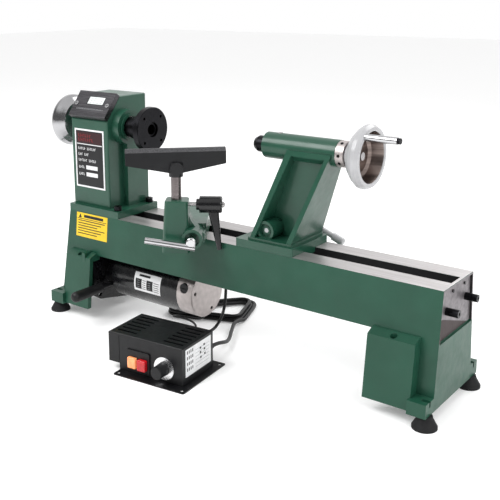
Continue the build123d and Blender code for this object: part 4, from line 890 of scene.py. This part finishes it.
class LATHE_OT_plates(bpy.types.Operator):
    """Prints the plates and stickers with generic marks"""

    bl_idname = "lathe.plates"
    bl_label = "Plates and stickers"

    def execute(self, context):
        self.rating_plate()
        self.bed_sticker()
        self.motor_sticker()
        self.wiring_sticker()
        self.display_print()
        return {"FINISHED"}

    def rating_plate(self):
        low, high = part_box("nameplate")
        width, height = (high.x - low.x) / MM, (high.z - low.z) / MM
        place = plane_matrix((low.x, low.y, low.z), (1, 0, 0), (0, 0, 1))
        bm = bmesh.new()
        add_block(bm, place, (3, 3, 0), (width - 3, height - 3, 0.12), 0)
        add_block(bm, place, (5, height * 0.76, 0.12), (width - 5, height - 5, 0.2), 1)
        for row, count in ((0.90, 6), (0.83, 7)):
            glyphs(bm, place, (9, height * row - 4), count, (5.4, 5.6), 2, 0.2)
        add_block(bm, place, (5, height * 0.737, 0.12), (width - 5, height * 0.75, 0.22), 3)
        for row, words in enumerate(((5, 6), (3, 3), (6, 5))):
            base = height * (0.645 - 0.10 * row)
            glyphs(bm, place, (8, base), words[0], (3.6, 4.6), 3, 0.12)
            glyphs(bm, place, (12 + 3.6 * words[0], base), words[1], (3.6, 4.6), 3, 0.12)
        for row in range(2):
            base = height * (0.315 - 0.12 * row)
            glyphs(bm, place, (8, base + 1), 4, (3.6, 4.6), 3, 0.12)
            add_block(bm, place, (26, base, 0.12), (54, base + 7, 0.22), 3)
        inks = (print_black, print_red, print_scarlet, print_white)
        mesh_piece("rating_plate_print", bm, "bed", "plate_print", *inks)

    def bed_sticker(self):
        half = BED_HALF + (BED_TOP - STICKER_Z) * BED_SLOPE
        place = plane_matrix((STICKER_X, -half, STICKER_Z), (1, 0, 0), (0, BED_SLOPE, 1))
        bm = bmesh.new()
        add_block(bm, place, (0, -21.5, 0.02), (76, 21.5, 0.22), 0)
        add_block(bm, place, (2, 10.5, 0.22), (74, 11.5, 0.28), 1)
        corners = [place @ Vector((x * MM, y * MM, 0.3 * MM)) for x, y in ((5, 12.5), (13, 12.5), (9, 20))]
        face = bm.faces.new([bm.verts.new(corner) for corner in corners])
        face.material_index = 1
        add_block(bm, place, (18, 13.5, 0.22), (66, 18.5, 0.28), 1)
        for row in range(6):
            top = 8.5 - row * 4.6
            add_block(bm, place, (4, top - 1.6, 0.22), (70 - 9 * (row % 3), top, 0.28), 1)
        mesh_piece("bed_sticker", bm, "bed", "plate_print", print_yellow, print_black)

    def motor_sticker(self):
        low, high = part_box("motor_can")
        centre = Vector((0, (low.y + high.y) / 2, (low.z + high.z) / 2))
        radius = (high.z - low.z) / 2
        bm = bmesh.new()
        self.wrap(bm, centre, radius + 0.15 * MM, (-200.5, -141.0), (-15.0, 30.0), 0)
        self.wrap(bm, centre, radius + 0.25 * MM, (-190.0, -165.0), (21.0, 26.0), 1)
        for column, start in enumerate((-197.0, -172.0)):
            self.wrap(bm, centre, radius + 0.25 * MM, (start, start + 14.0), (-9.0, 15.0), 1)
            for row in range(4):
                angle = 11.0 - row * 5.0 - column
                line = (start + 3.0, start + 9.0)
                self.wrap(bm, centre, radius + 0.35 * MM, line, (angle - 0.8, angle), 2)
        for row in range(5):
            angle = 13.0 - row * 5.0
            self.wrap(bm, centre, radius + 0.25 * MM, (-181.5, -174.0), (angle - 1.5, angle), 1)
            self.wrap(bm, centre, radius + 0.25 * MM, (-156.0, -144.0), (angle - 1.5, angle), 1)
        mesh_piece("motor_sticker", bm, "motor", "plate_print", print_white, print_black, print_grey)

    def wrap(self, bm, centre, radius, along, angles, finish):
        """Patch of a cylinder about the X axis, between two places and two angles above the front."""
        steps = 8
        rows = []
        for step in range(steps + 1):
            angle = math.radians(angles[0] + (angles[1] - angles[0]) * step / steps)
            y, z = centre.y - radius * math.cos(angle), centre.z + radius * math.sin(angle)
            rows.append([bm.verts.new((x * MM, y, z)) for x in along])
        for first, second in zip(rows, rows[1:]):
            face = bm.faces.new((first[0], first[1], second[1], second[0]))
            face.material_index = finish
            face.smooth = True

    def wiring_sticker(self):
        corner = box_point(0.0, 9.0, 12.0) * MM
        behind = Vector((-math.sin(BOX_TURN), math.cos(BOX_TURN), 0))
        place = plane_matrix(corner, behind, (0, 0, 1))
        bm = bmesh.new()
        add_block(bm, place, (0, 0, 0.0), (69, 43, 0.2), 0)
        for row in range(4):
            for mark in range(4):
                x, z = 4 + mark * 4.6, 35 - row * 9
                add_block(bm, place, (x, z, 0.2), (x + 2.2, z + 5, 0.26), 1)
        for row in range(6):
            z = 34 - row * 5.4
            add_block(bm, place, (26, z, 0.2), (64, z + 0.6, 0.26), 2)
        for x, z in ((38, 32), (48, 34), (38, 25), (49, 27), (39, 17), (50, 19)):
            add_block(bm, place, (x, z - 1, 0.2), (x + 4, z + 2.4, 0.3), 1)
        mesh_piece("wiring_sticker", bm, "bed", "plate_print", print_white, print_black, print_grey)

    def display_print(self):
        low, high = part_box("display_window")
        centre = (low + high) / 2
        run, rise = high.y - low.y, high.z - low.z
        case_low, case_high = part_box("display_case")
        place = plane_matrix((centre.x, centre.y, centre.z), (1, 0, 0), (0, run, rise))
        face = 0.75
        bm = bmesh.new()
        add_block(bm, place, (-20, -8.6, face - 0.3), (20, -7.2, face), 0)
        add_block(bm, place, (-20, 7.2, face - 0.3), (20, 8.6, face), 0)
        add_block(bm, place, (-20, -8.6, face - 0.3), (-18.6, 8.6, face), 0)
        add_block(bm, place, (18.6, -8.6, face - 0.3), (20, 8.6, face), 0)
        for digit in range(4):
            x = -14 + digit * 8
            for z in (-5, -0.5, 4):
                add_block(bm, place, (x, z, 0.45), (x + 4.6, z + 0.8, 0.6), 1)
        glyphs(bm, place, (-38, -19), 26, (2.5, 2.4), 1, face - 0.1)
        mesh_piece("display_print", bm, "bed", "black_plastic", print_black, print_grey)
        bm = bmesh.new()
        for x in (case_low.x + 7 * MM, case_high.x - 7 * MM):
            across = (x - centre.x) / MM
            add_disc(bm, place, (across, -8), 3.8, 1.7, 0, face - 0.1, 32)
            add_block(bm, place, (across - 2.4, -8.5, 1.5), (across + 2.4, -7.5, 2.42), 1)
        mesh_piece("display_screws", bm, "bed", "bright_chrome", polished_chrome, print_black)


# ---------------------------------------------------------------- small hardware
class LATHE_OT_hardware(bpy.types.Operator):
    """Adds the small screws"""

    bl_idname = "lathe.hardware"
    bl_label = "Small screws"

    def execute(self, context):
        low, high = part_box("motor_end_bell")
        place = plane_matrix((high.x, (low.y + high.y) / 2, (low.z + high.z) / 2), (0, 1, 0), (0, 0, 1))
        bm = bmesh.new()
        for index in range(3):
            angle = math.radians(50 + index * 120)
            add_disc(bm, place, (33 * math.cos(angle), 33 * math.sin(angle)), 2.9, 3.0, 0, -5.0)
        mesh_piece("end_bell_screws", bm, "motor", "black_oxide", black_oxide)
        low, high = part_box("thrust_collar")
        centre = Vector(((low.x + high.x) / 2, (low.y + high.y) / 2, (low.z + high.z) / 2))
        radius = (high.z - low.z) / 2
        bm = bmesh.new()
        for turn in (-35.0, 60.0):
            out = Vector((0, -math.cos(math.radians(turn)), math.sin(math.radians(turn))))
            spot = centre + out * (radius - 1.0 * MM)
            add_disc(bm, plane_matrix(spot, (1, 0, 0), out.cross(Vector((1, 0, 0)))), (0, 0), 2.4, 1.4)
        mesh_piece("collar_screws", bm, "tailstock", "black_oxide", black_oxide)
        bm = bmesh.new()
        place = plane_matrix((BED_HIGH.x - 1.5 * MM, 0, 0), (0, 1, 0), (0, 0, 1))
        for y in (-14.0, 26.0):
            add_disc(bm, place, (y, 173.5), 2.6, 0.5, 0, -0.2)
        mesh_piece("end_set_screws", bm, "bed", "black_oxide", black_oxide)
        return {"FINISHED"}


# ---------------------------------------------------------------- camera and studio
CAMERA_PLACE = Vector((756.4, -1042.4, 562.4)) * MM
CAMERA_TURN = math.radians(37.76)
CAMERA_DIP = math.radians(12.84)
CAMERA_ROLL = math.radians(-0.21)
FRAME_SHIFT = (0.0661, -0.1330)


class LATHE_OT_camera(bpy.types.Operator):
    """Places the camera"""

    bl_idname = "lathe.camera"
    bl_label = "Camera"

    def execute(self, context):
        camera = bpy.data.cameras.new("camera")
        camera.sensor_width = 36.0
        camera.lens = studio_settings().lens
        camera.shift_x, camera.shift_y = FRAME_SHIFT
        camera.clip_end = 30.0
        view = bpy.data.objects.new("camera", camera)
        turn, dip = CAMERA_TURN, CAMERA_DIP
        forward = Vector((-math.sin(turn) * math.cos(dip), math.cos(turn) * math.cos(dip), -math.sin(dip)))
        right = Vector((math.cos(turn), math.sin(turn), 0))
        up = right.cross(forward)
        level_right = right * math.cos(CAMERA_ROLL) + up * math.sin(CAMERA_ROLL)
        level_up = up * math.cos(CAMERA_ROLL) - right * math.sin(CAMERA_ROLL)
        axes = Matrix((level_right, level_up, -forward)).transposed()
        view.matrix_world = Matrix.Translation(CAMERA_PLACE) @ axes.to_4x4()
        bpy.context.scene.collection.objects.link(view)
        bpy.context.scene.camera = view
        return {"FINISHED"}


class LATHE_OT_studio(bpy.types.Operator):
    """Builds the pale floor, the surround and the soft lights"""

    bl_idname = "lathe.studio"
    bl_label = "Studio"
    DARK_SIDE = 0.18

    def execute(self, context):
        studio = studio_settings()
        bm = bmesh.new()
        bmesh.ops.create_grid(bm, x_segments=8, y_segments=8, size=9.0)
        data = bpy.data.meshes.new("floor")
        bm.to_mesh(data)
        bm.free()
        floor = bpy.data.objects.new("floor", data)
        floor.location.z = -0.0002
        bpy.context.scene.collection.objects.link(floor)
        board = Surface("floor_board", (0.90, 0.90, 0.90), 0.75)
        board.wear(0.2, 0.05)
        board.shader.inputs["Emission Color"].default_value = (1.0, 1.0, 1.0, 1.0)
        board.shader.inputs["Emission Strength"].default_value = 0.16
        data.materials.append(board.material)
        world = bpy.data.worlds.new("surround")
        world.use_nodes = True
        sky = world.node_tree.nodes["Background"]
        sky.inputs["Color"].default_value = (1.0, 1.0, 1.0, 1.0)
        self.shade_surround(world.node_tree, sky, studio.sky)
        context.scene.world = world
        context.scene.view_settings.view_transform = "Standard"
        self.soft_light("key", (-0.9, -1.5, 1.9), 1.3, studio.key)
        self.soft_light("fill", (1.7, -0.6, 1.1), 1.1, studio.fill)
        self.soft_light("back", (0.3, 1.5, 1.6), 1.2, studio.fill)
        return {"FINISHED"}

    def shade_surround(self, tree, sky, strength):
        """White behind and above the machine, dark in front of it and to its sides."""
        direction = tree.nodes.new("ShaderNodeTexCoord")
        split = tree.nodes.new("ShaderNodeSeparateXYZ")
        tree.links.new(direction.outputs["Generated"], split.inputs["Vector"])
        levels = []
        for axis, start, end in (("Y", -0.35, 0.25), ("Z", 0.45, 0.75)):
            level = tree.nodes.new("ShaderNodeMapRange")
            level.inputs["From Min"].default_value = start
            level.inputs["From Max"].default_value = end
            level.inputs["To Min"].default_value = strength * self.DARK_SIDE
            level.inputs["To Max"].default_value = strength
            tree.links.new(split.outputs[axis], level.inputs["Value"])
            levels.append(level.outputs["Result"])
        brighter = tree.nodes.new("ShaderNodeMath")
        brighter.operation = "MAXIMUM"
        tree.links.new(levels[0], brighter.inputs[0])
        tree.links.new(levels[1], brighter.inputs[1])
        tree.links.new(brighter.outputs["Value"], sky.inputs["Strength"])

    def soft_light(self, name, place, size, power):
        light = bpy.data.lights.new(name, "AREA")
        light.size = size
        light.energy = power
        lamp = bpy.data.objects.new(name, light)
        lamp.location = place
        lamp.rotation_euler = (Vector((0, 0, 0.2)) - Vector(place)).to_track_quat("-Z", "Y").to_euler()
        bpy.context.scene.collection.objects.link(lamp)


class LATHE_PT_panel(bpy.types.Panel):
    """Sidebar panel of the lathe"""

    bl_label = "Wood lathe"
    bl_idname = "LATHE_PT_panel"
    bl_space_type = "VIEW_3D"
    bl_region_type = "UI"
    bl_category = "Lathe"

    def draw(self, context):
        for group in (finish_settings(), lead_settings(), studio_settings()):
            for name in group.__annotations__:
                self.layout.prop(group, name)
        for operator in OPERATORS:
            self.layout.operator(operator.bl_idname)


GROUPS = (LatheFinish, LatheLeads, LatheStudio)
OPERATORS = (
    LATHE_OT_camera, LATHE_OT_leads, LATHE_OT_finishes, LATHE_OT_plates, LATHE_OT_hardware, LATHE_OT_studio,
)


def register():
    for kind in (*GROUPS, *OPERATORS, LATHE_PT_panel):
        bpy.utils.register_class(kind)
    bpy.types.Scene.lathe_finish = PointerProperty(type=LatheFinish)
    bpy.types.Scene.lathe_leads = PointerProperty(type=LatheLeads)
    bpy.types.Scene.lathe_studio = PointerProperty(type=LatheStudio)


def unregister():
    del bpy.types.Scene.lathe_finish
    del bpy.types.Scene.lathe_leads
    del bpy.types.Scene.lathe_studio
    for kind in reversed((*GROUPS, *OPERATORS, LATHE_PT_panel)):
        bpy.utils.unregister_class(kind)


def main():
    register()
    bpy.ops.lathe.camera()
    bpy.ops.lathe.leads()
    bpy.ops.lathe.finishes()
    bpy.ops.lathe.plates()
    bpy.ops.lathe.hardware()
    bpy.ops.lathe.studio()


if __name__ == "__main__":
    main()
